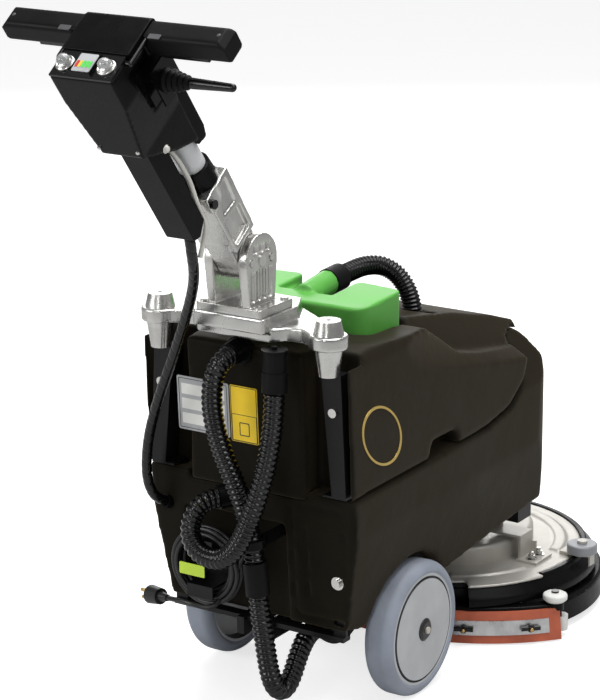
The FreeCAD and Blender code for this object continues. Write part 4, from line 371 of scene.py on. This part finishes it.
FINISHES = {
    "tank": finish("moulded_tank", (0.0072, 0.0062, 0.0040), 0.48, grain=(520.0, 0.00024), wave=0.0006,
                   tone=(9.0, 0.16), edges=0.35, edge_colour=(0.045, 0.042, 0.034), dust=0.003,
                   specular=0.04, sheen=0.10),
    "black": finish("moulded_black", (0.0034, 0.0034, 0.0038), 0.28, grain=(1100.0, 0.00006), wave=0.0002,
                    tone=(20.0, 0.15), dust=0.002, specular=0.10),
    "gloss": finish("gloss_black", (0.0034, 0.0034, 0.0038), 0.15, coat=0.08, grain=(900.0, 0.00002),
                    dust=0.003, specular=0.34),
    "rubber": finish("black_rubber", (0.0045, 0.0045, 0.0048), 0.46, grain=(1300.0, 0.00008), dust=0.003,
                     specular=0.12),
    "cast": finish("cast_aluminium", (0.56, 0.555, 0.535), 0.26, metallic=0.95, grain=(900.0, 0.00010),
                   wave=0.0005, tone=(26.0, 0.16), edges=0.5, edge_colour=(0.86, 0.84, 0.80),
                   rough_swing=0.10),
    "screw": finish("bright_steel", (0.62, 0.61, 0.59), 0.24, metallic=1.0, grain=(1500.0, 0.00003)),
    "tube": finish("painted_tube", (0.62, 0.63, 0.64), 0.28, coat=0.3, grain=(900.0, 0.00003), wave=0.0001),
    "frame": finish("painted_frame", (0.005, 0.005, 0.0053), 0.34, grain=(900.0, 0.00006), dust=0.006,
                    specular=0.26),
    "deck": finish("silver_deck", (0.52, 0.50, 0.46), 0.40, metallic=0.35, grain=(600.0, 0.00009),
                   wave=0.0007, tone=(10.0, 0.2), edges=0.4, edge_colour=(0.8, 0.79, 0.76), dust=0.18),
    "drum": finish("silver_drum", (0.50, 0.48, 0.44), 0.40, metallic=0.35, grain=(600.0, 0.00009),
                   wave=0.0007, tone=(10.0, 0.2), dust=0.12),
    "green": finish("green_lid", (0.100, 0.37, 0.062), 0.42, coat=0.05, specular=0.25,
                    grain=(900.0, 0.00005), wave=0.0005, tone=(10.0, 0.12)),
    "dome": finish("clear_dome", (0.86, 0.88, 0.88), 0.08, coat=0.6, grain=(900.0, 0.0), transmission=0.75,
                   rough_swing=0.02),
    "tyre": finish("grey_tyre", (0.285, 0.315, 0.375), 0.50, grain=(900.0, 0.00008), wave=0.0003, dust=0.10,
                   specular=0.35, tone=(18.0, 0.14)),
    "rim": finish("wheel_cover", (0.47, 0.485, 0.50), 0.40, grain=(700.0, 0.00006), wave=0.0003,
                  paint=wheel_paint),
    "roller": finish("grey_roller", (0.27, 0.28, 0.30), 0.42, grain=(800.0, 0.00008), dust=0.08),
    "white": finish("white_roller", (0.78, 0.78, 0.75), 0.38, grain=(800.0, 0.00005), dust=0.04),
    "blade": finish("red_blade", (0.50, 0.115, 0.055), 0.50, grain=(900.0, 0.00006), wave=0.0004,
                    tone=(24.0, 0.2), dust=0.05),
    "strap": finish("strap_metal", (0.66, 0.66, 0.66), 0.30, metallic=1.0, grain=(1100.0, 0.00005),
                    tone=(40.0, 0.2)),
    "hose": finish("gloss_hose", (0.0025, 0.0025, 0.0028), 0.15, rough_swing=0.04, coat=0.10,
                   grain=(800.0, 0.00003), dust=0.003, specular=0.38),
    "cable": finish("pale_cable", (0.66, 0.65, 0.60), 0.40, grain=(900.0, 0.00004)),
    "cord": finish("cord_jacket", (0.008, 0.008, 0.009), 0.36, grain=(1400.0, 0.00005), dust=0.012),
    "bristle": finish("brush_bristle", (0.05, 0.05, 0.05), 0.6, grain=(900.0, 0.0002), paint=bristle_paint),
    "battery": finish("battery_case", (0.08, 0.08, 0.09), 0.45, grain=(600.0, 0.00008)),
    "brass": finish("brass", (0.62, 0.42, 0.16), 0.28, metallic=1.0, grain=(1100.0, 0.00004)),
    "gold": finish("gold_print", (0.52, 0.36, 0.08), 0.35, metallic=0.4, grain=(900.0, 0.00003)),
    "plate": finish("grey_plate", (0.42, 0.43, 0.44), 0.34, grain=(900.0, 0.00003), tone=(30.0, 0.10)),
    "yellow": finish("yellow_plate", (0.97, 0.66, 0.008), 0.34, grain=(900.0, 0.00003), tone=(30.0, 0.06)),
    "ink": finish("black_print", (0.012, 0.012, 0.012), 0.4, grain=(900.0, 0.00002)),
    "tag": finish("tag_paper", (0.52, 0.72, 0.05), 0.45, grain=(900.0, 0.00006)),
    "insert": finish("grip_insert", (0.07, 0.07, 0.075), 0.4, grain=(900.0, 0.00008)),
    "led_green": finish("led_green", (0.10, 0.62, 0.10), 0.2, coat=0.5, grain=(900.0, 0.0)),
    "led_yellow": finish("led_yellow", (0.72, 0.58, 0.05), 0.2, coat=0.5, grain=(900.0, 0.0)),
    "led_red": finish("led_red", (0.60, 0.05, 0.03), 0.2, coat=0.5, grain=(900.0, 0.0)),
}
NODE_FINISH = {
    "batteries": "battery", "vacuum_motor": "black", "fasteners": "screw", "base_frame": "frame",
    "wheel_axle": "screw", "posts": "cast", "pivot_pin": "screw", "handle_tube": "tube",
    "tube_collar": "black",
    "control_panel": "gloss", "handlebar": "frame", "cable_box": "black", "handle_fittings": "gloss",
    "lever": "gloss", "deck_housing": "black", "brush_motor": "drum", "deck_brackets": "drum",
    "brush": "bristle",
    "squeegee_ring": "black", "squeegee_body": "black", "blades": "blade", "blade_strap": "strap",
    "wing_nuts": "gloss", "blade_caps": "white", "lid_cuff": "rubber", "hose_fittings": "black",
    "hose_cuffs": "rubber", "cord_bracket": "frame", "charger_plug": "cord", "trigger_left": "gloss",
    "trigger_right": "gloss", "button_left": "dome", "button_right": "dome", "bumper_roller_left": "roller",
    "bumper_roller_right": "roller", "squeegee_roller_left": "white", "squeegee_roller_right": "white",
    "tyre_left": "tyre", "tyre_right": "tyre", "rim_left": "rim", "rim_right": "rim"}
for node_name, key in NODE_FINISH.items():
    cad_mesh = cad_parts[node_name].data
    cad_mesh.materials.clear()
    cad_mesh.materials.append(FINISHES[key])


# ---- building blocks ----------------------------------------------------------------------------
def settle(name, mesh, key, body, smooth=True):
    """Object from a mesh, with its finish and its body."""
    mesh.materials.clear()
    mesh.materials.append(FINISHES[key])
    mesh.polygons.foreach_set("use_smooth", [smooth] * len(mesh.polygons))
    mesh.update()
    piece = bpy.data.objects.new(name, mesh)
    bpy.context.scene.collection.objects.link(piece)
    if body:
        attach(piece, body)
    return piece


def from_arrays(name, points, faces, key, body, smooth=True):
    """Piece from rows of points and lists of face corners; its faces are turned outwards."""
    mesh = bpy.data.meshes.new(name)
    mesh.from_pydata(np.asarray(points).reshape(-1, 3).tolist(), [], faces)
    shell = bmesh.new()
    shell.from_mesh(mesh)
    bmesh.ops.recalc_face_normals(shell, faces=shell.faces)
    shell.to_mesh(mesh)
    shell.free()
    return settle(name, mesh, key, body, smooth)


def grid_faces(rows, columns, endless=False):
    """Four-cornered faces of a grid whose columns close on themselves, capped unless endless."""
    index = np.arange(rows * columns).reshape(rows, columns)
    if endless:
        index = np.concatenate([index, index[:1]])
    right = np.roll(index, -1, axis=1)
    quads = np.stack([index[:-1], right[:-1], right[1:], index[1:]], axis=-1).reshape(-1, 4)
    caps = [] if endless else [index[0].tolist(), index[-1][::-1].tolist()]
    return quads.tolist() + caps


def square_to(axis):
    """Two directions square to an axis."""
    axis = Vector(axis).normalized()
    first = axis.cross(X_AXIS if abs(axis.x) < 0.8 else Y_AXIS).normalized()
    return first, axis.cross(first)


def turned(name, profile, centre, axis, key, body, sides=32, smooth=True):
    """Profile of (radius, height) in millimetres carried round an axis."""
    first, second = (np.array(v) for v in square_to(axis))
    angle = np.linspace(0.0, 2.0 * np.pi, sides, endpoint=False)
    ring = np.cos(angle)[:, None] * first + np.sin(angle)[:, None] * second
    profile = np.array(profile, float) * MM
    along = np.array(Vector(axis).normalized())
    points = np.array(centre) + profile[:, :1, None] * ring + profile[:, 1, None, None] * along
    return from_arrays(name, points, grid_faces(len(profile), sides), key, body, smooth)


def rounded_outline(half_width, half_height, corner, steps=5):
    """Outline of a rounded rectangle: quarter circles about four inset corners."""
    quarter = np.linspace(0.0, np.pi / 2.0, steps)
    parts = []
    for i, (sx, sy) in enumerate(((1, 1), (-1, 1), (-1, -1), (1, -1))):
        a = quarter + i * np.pi / 2.0
        parts.append(np.stack([sx * (half_width - corner) + corner * np.cos(a),
                               sy * (half_height - corner) + corner * np.sin(a)], axis=1))
    return np.concatenate(parts)


def slab(name, outline, centre, across, up, thickness, bevel, key, body):
    """Flat plate: an outline (n, 2) in millimetres given a thickness and a bevelled rim."""
    across, up = np.array(across), np.array(up)
    out = np.cross(across, up)
    middle = outline.mean(axis=0)
    reach = np.abs(outline - middle).max()
    inset = middle + (outline - middle) * (1.0 - bevel / reach)
    rings = [(outline, 0.0), (outline, thickness - bevel), (inset, thickness)]
    points = [np.array(centre) + MM * (ring[:, :1] * across + ring[:, 1:] * up + lift * out)
              for ring, lift in rings]
    return from_arrays(name, np.array(points), grid_faces(3, len(outline)), key, body, False)


def softened(node, voxel, rounds, key, body, leaning=False):
    """Copy of a CAD node in an even skin of cells, relaxed so that its edges are round."""
    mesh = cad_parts[node].data.copy()
    lean = Matrix.Rotation(math.atan2(LEAN_SIN, LEAN_COS), 4, "X")
    shell = bmesh.new()
    shell.from_mesh(mesh)
    bmesh.ops.remove_doubles(shell, verts=shell.verts, dist=WELD_DISTANCE)
    if leaning:
        shell.transform(lean.inverted())
    shell.to_mesh(mesh)
    shell.free()
    holder = bpy.data.objects.new(node + "_skin", mesh)
    bpy.context.scene.collection.objects.link(holder)
    skin = holder.modifiers.new("skin", "REMESH")
    skin.mode = "VOXEL"
    skin.voxel_size = voxel * MM
    relax = holder.modifiers.new("relax", "SMOOTH")
    relax.factor = 0.5
    relax.iterations = rounds
    made = bpy.data.meshes.new_from_object(holder.evaluated_get(bpy.context.evaluated_depsgraph_get()))
    bpy.data.objects.remove(holder)
    if leaning:
        made.transform(lean)
    made.name = node + "_surface"
    piece = settle(node + "_surface", made, key, body)
    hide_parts(node)
    return piece


def smooth_line(name, points, resolution):
    """Object that holds the smooth line whose control points are a route's points."""
    curve = bpy.data.curves.new(name, "CURVE")
    curve.dimensions = "3D"
    curve.resolution_u = resolution
    spline = curve.splines.new("NURBS")
    spline.points.add(len(points) - 1)
    for knot, spot in zip(spline.points, points):
        knot.co = (*at(*spot), 1.0)
    spline.order_u = 3
    spline.use_endpoint_u = True
    piece = bpy.data.objects.new(name, curve)
    bpy.context.scene.collection.objects.link(piece)
    return piece


def route(points, step):
    """Even points along the smooth line whose control points are a route's points, and its length."""
    holder = smooth_line("route", points, 24)
    line = bpy.data.meshes.new_from_object(holder)
    raw = np.empty(len(line.vertices) * 3)
    line.vertices.foreach_get("co", raw)
    raw = raw.reshape(-1, 3)
    bpy.data.objects.remove(holder)
    bpy.data.meshes.remove(line)
    arc = np.concatenate([[0.0], np.cumsum(np.linalg.norm(np.diff(raw, axis=0), axis=1))])
    reach = np.linspace(0.0, arc[-1], int(arc[-1] / step) + 1)
    return np.stack([np.interp(reach, arc, raw[:, i]) for i in range(3)], axis=1), reach


def carried(line):
    """Two directions square to a line at each point, carried along it without twist."""
    along = np.gradient(line, axis=0)
    along /= np.linalg.norm(along, axis=1)[:, None]
    side = np.zeros_like(line)
    last = np.array(square_to(Vector(along[0]))[0])
    for i, direction in enumerate(along):
        last = last - direction * (last @ direction)
        last /= np.linalg.norm(last)
        side[i] = last
    return side, np.cross(along, side)


def swept(name, line, radius, sides, key, body):
    """Tube whose radius is a function of distance along its line and angle round it."""
    side, other = carried(line)
    angle = np.linspace(0.0, 2.0 * np.pi, sides, endpoint=False)
    ring = np.cos(angle)[None, :, None] * side[:, None] + np.sin(angle)[None, :, None] * other[:, None]
    points = line[:, None] + radius[:, :, None] * ring
    return from_arrays(name, points, grid_faces(len(line), sides), key, body)


def hose(name, points, node, body, pitch=HOSE_PITCH):
    """Ribbed hose: its radius follows a rounded wave that climbs one pitch each turn round."""
    line, reach = route(points, pitch * MM / 9.0)
    angle = np.linspace(0.0, 1.0, HOSE_SIDES, endpoint=False)
    phase = reach[:, None] / (pitch * MM) + angle[None, :]
    rib = np.abs(np.cos(np.pi * phase)) ** RIB_SHARPNESS
    radius = (HOSE_DIAMETER / 2.0 - HOSE_RIB_DEPTH * (1.0 - rib)) * MM
    piece = swept(name, line, radius, HOSE_SIDES, "hose", body)
    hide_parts(node)
    return piece


# ---- tanks --------------------------------------------------------------------------------------
softened("solution_tank", 3.8, 5, "tank", "chassis")
softened("recovery_tank", 3.8, 5, "tank", "chassis")
softened("tank_lid", 2.2, 6, "green", "lid")
REAR_SLOPE = Vector((0.0, -PANEL_LEAN, PANEL_HEIGHT)).normalized()


def rear_panel(x, z, lift):
    """Point on the upper tank's sloping back."""
    return at(x, PANEL_FOOT[0] - PANEL_LEAN * (z - PANEL_FOOT[1]) / PANEL_HEIGHT - lift, z)


def frame_line(name, width, height, line, centre, key):
    """Thin rectangular border: an outer outline and an inner one, joined by flat faces."""
    outer = rounded_outline(width / 2.0, height / 2.0, 1.5)
    inner = rounded_outline(width / 2.0 - line, height / 2.0 - line, 1.0)
    across, up = np.array(X_AXIS), np.array(REAR_SLOPE)
    out = np.cross(across, up)
    rings = [(outer, 0.0), (outer, 0.15), (inner, 0.15), (inner, 0.0)]
    points = [np.array(centre) + MM * (r[:, :1] * across + r[:, 1:] * up + lift * out) for r, lift in rings]
    return from_arrays(name, np.array(points), grid_faces(len(rings), len(outer), True), key, "chassis",
                       False)


slab("rating_plate", rounded_outline(44.5, 40.5, 3.0), rear_panel(*RATING_PLACE, 0.3), X_AXIS, REAR_SLOPE,
     0.8, 0.3, "plate", "chassis")
frame_line("rating_plate_border", 83.0, 75.0, 0.9, rear_panel(*RATING_PLACE, 1.15), "ink")
for i in range(3):
    slab("rating_field_" + str(i), rounded_outline(37.0, 8.0, 1.0),
         rear_panel(RATING_PLACE[0], 475.0 - 22.0 * i, 1.1), X_AXIS, REAR_SLOPE, 0.15, 0.05, "white",
         "chassis")
slab("notice_plate", rounded_outline(23.0, 42.0, 2.5), rear_panel(NOTICE_X, 452.0, 0.3), X_AXIS, REAR_SLOPE,
     0.8, 0.3, "yellow", "chassis")
frame_line("notice_border", 44.0, 82.0, 1.0, rear_panel(NOTICE_X, 452.0, 1.15), "ink")
frame_line("notice_divider", 42.0, 40.0, 0.8, rear_panel(NOTICE_X, 431.5, 1.2), "ink")
frame_line("notice_mark", 17.0, 20.0, 1.4, rear_panel(NOTICE_X, 430.0, 1.2), "ink")


def badge(side, word):
    """Plain oval ring on the flank: a thin raised band that leans forward."""
    turn = np.linspace(0.0, 2.0 * math.pi, 72, endpoint=False)
    rows = []
    for swell, lift in ((0.953, 0.0), (0.958, 0.9), (1.042, 0.9), (1.047, 0.0)):
        y = BADGE_CENTRE[0] + swell * BADGE_HALF_LENGTH * np.cos(turn)
        rise = BADGE_HALF_HEIGHT * np.sin(turn - math.radians(6.0)) - BADGE_LEAN * np.cos(turn)
        z = BADGE_CENTRE[1] + swell * rise
        flank = FLANK_X - FLANK_TAPER * (z - FLANK_FOOT_Z) / FLANK_HEIGHT
        rows.append(np.stack([side * (flank + lift - 0.15), y, z], axis=1))
    points = np.stack(rows, axis=1) * MM
    points[:, :, 1] += AXLE_Y * MM
    return from_arrays("badge_ring_" + word, points, grid_faces(len(turn), 4, True), "gold", "chassis",
                       False)


for side, word in SIDES:
    badge(side, word)

# ---- yoke, hinge and arm ------------------------------------------------------------------------
softened("yoke", 1.9, 5, "cast", "chassis")
softened("hinge_base", 1.25, 4, "cast", "chassis")
softened("handle_arm", 1.25, 4, "cast", "handle", leaning=True)

# ---- control head -------------------------------------------------------------------------------
softened("head_housing", 1.9, 4, "black", "handle", leaning=True)
softened("bar_cover", 1.6, 4, "black", "handle", leaning=True)
softened("grips", 1.5, 4, "rubber", "handle", leaning=True)
for x, (_, word) in zip(BUTTON_XS, SIDES):
    turned("button_bezel_" + word,
           [(9.6, 3.0), (13.4, 3.0), (13.4, 4.2), (12.2, 5.8), (10.4, 5.8), (9.6, 4.8)],
           on_handle(x, *BUTTON_PLACE), HANDLE_ALONG, "screw", "handle", 48)
gauge = [("led_red", -12.0), ("led_yellow", -7.0), ("led_green", -2.0), ("led_green", 3.0),
         ("led_green", 8.0)]
slab("gauge_window", rounded_outline(14.0, 15.0, 2.0), on_handle(-1.5, -75.0, 457.0), X_AXIS,
     HANDLE_NORMAL, 0.8, 0.4, "plate", "handle")
for i, (key, x) in enumerate(gauge):
    slab("gauge_light_" + str(i), rounded_outline(1.9, 5.5, 0.8), on_handle(x + 0.5, -78.0, 457.8), X_AXIS,
         HANDLE_NORMAL, 0.7, 0.3, key, "handle")
for i, x in enumerate(HEAD_SCREW_XS):
    turned("head_screw_" + str(i), [(0.3, 0.0), (3.0, 0.0), (3.0, 2.2), (2.4, 2.8), (0.3, 2.8)],
           on_handle(x, -97.0, 322.0), -HANDLE_NORMAL, "screw", "handle", 6, False)
turned("head_nut", [(0.3, 0.0), (6.0, 0.0), (6.0, 1.2), (4.2, 1.2), (4.2, 4.6), (3.4, 5.2), (0.3, 5.2)],
       on_handle(31.0, -55.0, 283.0), X_AXIS, "cable", "handle", 24)
for side, word in SIDES:
    slab("grip_insert_" + word, rounded_outline(9.0, 4.0, 1.2), on_handle(side * 70.0, -17.0, 453.2), X_AXIS,
         HANDLE_NORMAL, 0.9, 0.4, "insert", "handle")
    turned("grip_plug_" + word, [(0.2, 0.0), (2.6, 0.0), (2.6, 0.5), (1.8, 0.9), (0.2, 0.9)],
           on_handle(side * 160.0, -4.0, 453.2), HANDLE_ALONG, "insert", "handle", 20)


def boot():
    """Ribbed boot: a cone whose radius carries four rounded bellows, from bracket to lever."""
    reach = np.linspace(0.0, 1.0, 90)
    radius = 17.5 - 8.6 * reach - 1.9 * (0.5 - 0.5 * np.cos(2.0 * np.pi * 4.5 * reach))
    foot, top = BOOT_SPAN
    profile = np.stack([radius, foot + (top - foot) * reach], axis=1)
    profile = np.concatenate([[(0.3, foot)], profile, [(0.3, top)]])
    return turned("boot_bellows", profile, on_handle(*BOOT_FOOT), X_AXIS, "rubber", None, 40)


bellows = boot()
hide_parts("lever_boot")
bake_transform(bellows)

# ---- deck and squeegee --------------------------------------------------------------------------
softened("deck_plate", 2.2, 3, "deck", "chassis")
for i, degrees in enumerate(BLADE_STUD_ANGLES):
    turn = math.radians(270.0 + degrees)
    out = Vector((math.cos(turn), math.sin(turn), 0.0))
    start = at(*BLADE_CENTRE) + out * (BLADE_RADIUS * MM)
    turned("blade_stud_" + str(i), [(0.2, 0.0), (2.9, 0.0), (2.9, 3.2), (2.2, 3.8), (0.2, 3.8)], start, out,
           "brass", "squeegee", 20)

# ---- hoses and cords ----------------------------------------------------------------------------
lid_hose = hose("lid_hose_ribbed", LID_HOSE, "lid_hose", None, pitch=5.6)
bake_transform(lid_hose)
hose("vacuum_hose_upper_ribbed", VACUUM_UPPER, "vacuum_hose_upper", "chassis")
vacuum = hose("vacuum_hose_lower_ribbed", VACUUM_LOWER, "vacuum_hose_lower", None)
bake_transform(vacuum)
hose("drain_hose_ribbed", DRAIN, "drain_hose", "chassis")


def loom():
    """Spiral wrap: a ribbon wound round the wires, with a narrow groove between its turns."""
    line, reach = route(LOOM, 1.1 * MM)
    angle = np.linspace(0.0, 1.0, LOOM_SIDES, endpoint=False)
    phase = np.mod(reach[:, None] / (LOOM_PITCH * MM) + angle[None, :], 1.0)
    ridge = np.clip(np.minimum(phase, 1.0 - phase) * 9.0, 0.0, 1.0) ** 0.5
    radius = (LOOM_DIAMETER / 2.0 - LOOM_GROOVE_DEPTH * (1.0 - ridge)) * MM
    piece = swept("loom_wrap", line, radius, LOOM_SIDES, "hose", None)
    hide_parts("wiring_loom")
    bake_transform(piece)


loom()


def plain_cord(name, points, diameter, key, body, **facts):
    """Smooth round cord along a route."""
    piece = smooth_line(name, points, 8)
    piece.data.bevel_depth = diameter * MM / 2.0
    piece.data.bevel_resolution = 5
    piece.data.use_fill_caps = True
    piece.data.materials.append(FINISHES[key])
    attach(piece, body)
    _, reach = route(points, 2.0 * MM)
    return piece


cable = plain_cord("control_cable_line", CONTROL_CABLE, CABLE_DIAMETER, "cable", "handle", far_end="object",
                   stiffness="medium", lay="taut")
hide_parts("control_cable")


def coil_points():
    """Turns of the wound cord: the first in the middle of the bundle and the others round it.

    Each turn eases into the next over its last fifth.
    """
    made = []
    count = int(COIL_SWEEP / COIL_STEP)
    for i in range(count + 1):
        swept_by = COIL_SWEEP * i / count
        turn = swept_by / 360.0
        whole = math.floor(turn)
        ease = min(1.0, max(0.0, (turn - whole - 0.8) / 0.2))
        ease = ease * ease * (3.0 - 2.0 * ease)
        spots = [bundle_spot(whole), bundle_spot(whole + 1)]
        out = spots[0][0] + (spots[1][0] - spots[0][0]) * ease
        aside = spots[0][1] + (spots[1][1] - spots[0][1]) * ease
        angle = math.radians(COIL_START - swept_by)
        radius = COIL_RADIUS + out
        made.append((COIL_CENTRE[0] + radius * math.cos(angle), COIL_CENTRE[1] + aside,
                     COIL_CENTRE[2] + radius * math.sin(angle)))
    return made


def bundle_spot(turn):
    """Place of a turn in the bundle, as distance out and aside."""
    if turn == 0:
        return 0.0, 0.0
    angle = math.radians(60.0 * turn + 200.0)
    return BUNDLE_RADIUS * math.cos(angle), BUNDLE_RADIUS * math.sin(angle)


charger = plain_cord("charger_cord_wound", CORD_IN + coil_points() + CORD_OUT, CORD_DIAMETER, "cord",
                     "chassis", far_end="plug", stiffness="limp", lay="coiled", with_pieces=["charger_plug"])
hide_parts("charger_cord", "charger_coil")

plug_start = at(*CORD_OUT[-1])
plug_along = (plug_start - at(*CORD_OUT[-2])).normalized()
plug_face = plug_start + plug_along * (PLUG_LENGTH * MM)
plug_across = plug_along.cross(Y_AXIS).normalized()
plug_up = plug_along.cross(plug_across).normalized()
for i, (a, b) in enumerate(((5.5, 3.0), (-5.5, 3.0), (0.0, -6.0))):
    turned("plug_prong_" + str(i), [(0.2, 0.0), (2.7, 0.0), (2.7, 16.0), (1.6, 18.5), (0.2, 18.5)],
           plug_face + (plug_across * a + plug_up * b) * MM, plug_along, "brass", "chassis", 16)
slab("cord_tag", rounded_outline(22.0, 9.0, 2.0), at(-82.0, -212.5, 211.0), X_AXIS, Z_AXIS, 0.8, 0.3, "tag",
     "chassis")

# ---- floor, light and camera --------------------------------------------------------------------
FLOOR_GLOW = 0.70
WORLD_STRENGTH = (0.30, 1.05)
floor_mesh = bpy.data.meshes.new("studio_floor")
floor_mesh.from_pydata([(-9, -9, 0), (9, -9, 0), (9, 9, 0), (-9, 9, 0)], [], [(0, 1, 2, 3)])
floor = bpy.data.objects.new("studio_floor", floor_mesh)
bpy.context.scene.collection.objects.link(floor)
floor_material = finish("floor_paint", (0.62, 0.62, 0.62), 0.6, tone=(3.0, 0.01), grain=(300.0, 0.0))
floor_tree = floor_material.node_tree
floor_shader = floor_tree.nodes["Principled BSDF"]
floor_shader.inputs["Emission Color"].default_value = (1.0, 1.0, 1.0, 1.0)
floor_seen = floor_tree.nodes.new("ShaderNodeLightPath").outputs["Is Camera Ray"]
floor_glow = ramp(floor_tree, floor_seen, 0.0, 1.0, 0.0, FLOOR_GLOW)
floor_tree.links.new(floor_glow, floor_shader.inputs["Emission Strength"])
floor_mesh.materials.append(floor_material)


def softbox(name, place, target, size, power):
    """White area lamp that faces its target and does not show itself to the camera."""
    lamp = bpy.data.lights.new(name, "AREA")
    lamp.shape = "RECTANGLE"
    lamp.size, lamp.size_y = size
    lamp.energy = power
    holder = bpy.data.objects.new(name, lamp)
    holder.location = place
    holder.visible_camera = False
    holder.rotation_euler = (Vector(target) - Vector(place)).to_track_quat("-Z", "Y").to_euler()
    bpy.context.scene.collection.objects.link(holder)


softbox("key_light", (2.6, -0.6, 2.6), (0.0, 0.0, 0.4), (1.6, 1.6), 20.0)
softbox("fill_light", (-1.8, -2.8, 1.6), (0.0, -0.2, 0.5), (1.6, 1.2), 36.0)
softbox("top_light", (0.2, 0.4, 3.2), (0.0, 0.0, 0.4), (2.2, 2.2), 100.0)
softbox("strip_light", (0.9, -3.4, 1.9), (0.0, -0.3, 0.8), (0.35, 1.6), 16.0)
softbox("back_light", (-2.4, 3.4, 1.9), (0.0, 0.0, 0.5), (3.0, 1.4), 44.0)
world = bpy.data.worlds.new("studio_air")
world.use_nodes = True
world.node_tree.nodes["Background"].inputs["Color"].default_value = (1.0, 1.0, 1.0, 1.0)
air = world.node_tree
seen = air.nodes.new("ShaderNodeLightPath").outputs["Is Camera Ray"]
air.links.new(ramp(air, seen, 0.0, 1.0, *WORLD_STRENGTH), air.nodes["Background"].inputs["Strength"])
bpy.context.scene.world = world
bpy.context.scene.view_settings.view_transform = "Standard"

CAMERA_AZIMUTH = math.radians(33.06)
CAMERA_ELEVATION = math.radians(16.25)
CAMERA_ROLL = math.radians(-0.39)
CAMERA_DISTANCE = 4.07977
CAMERA_TARGET = Vector((-0.14649, 0.12948, 0.4337))
SENSOR_SIZE = 36.0
LENS_LENGTH = 135.75137
back = Vector((math.sin(CAMERA_AZIMUTH) * math.cos(CAMERA_ELEVATION),
               -math.cos(CAMERA_AZIMUTH) * math.cos(CAMERA_ELEVATION), math.sin(CAMERA_ELEVATION)))
right = Vector((math.cos(CAMERA_AZIMUTH), math.sin(CAMERA_AZIMUTH), 0.0))
upward = back.cross(right)
rolled = right * math.cos(CAMERA_ROLL) + upward * math.sin(CAMERA_ROLL)
upward = back.cross(rolled)
lens = bpy.data.cameras.new("view_camera")
lens.lens = LENS_LENGTH
lens.sensor_width = SENSOR_SIZE
camera = bpy.data.objects.new("view_camera", lens)
camera.matrix_world = Matrix((
    (rolled.x, upward.x, back.x, 0.0), (rolled.y, upward.y, back.y, 0.0), (rolled.z, upward.z, back.z, 0.0),
    (0.0, 0.0, 0.0, 1.0)))
camera.location = CAMERA_TARGET + back * CAMERA_DISTANCE
bpy.context.scene.collection.objects.link(camera)
bpy.context.scene.camera = camera
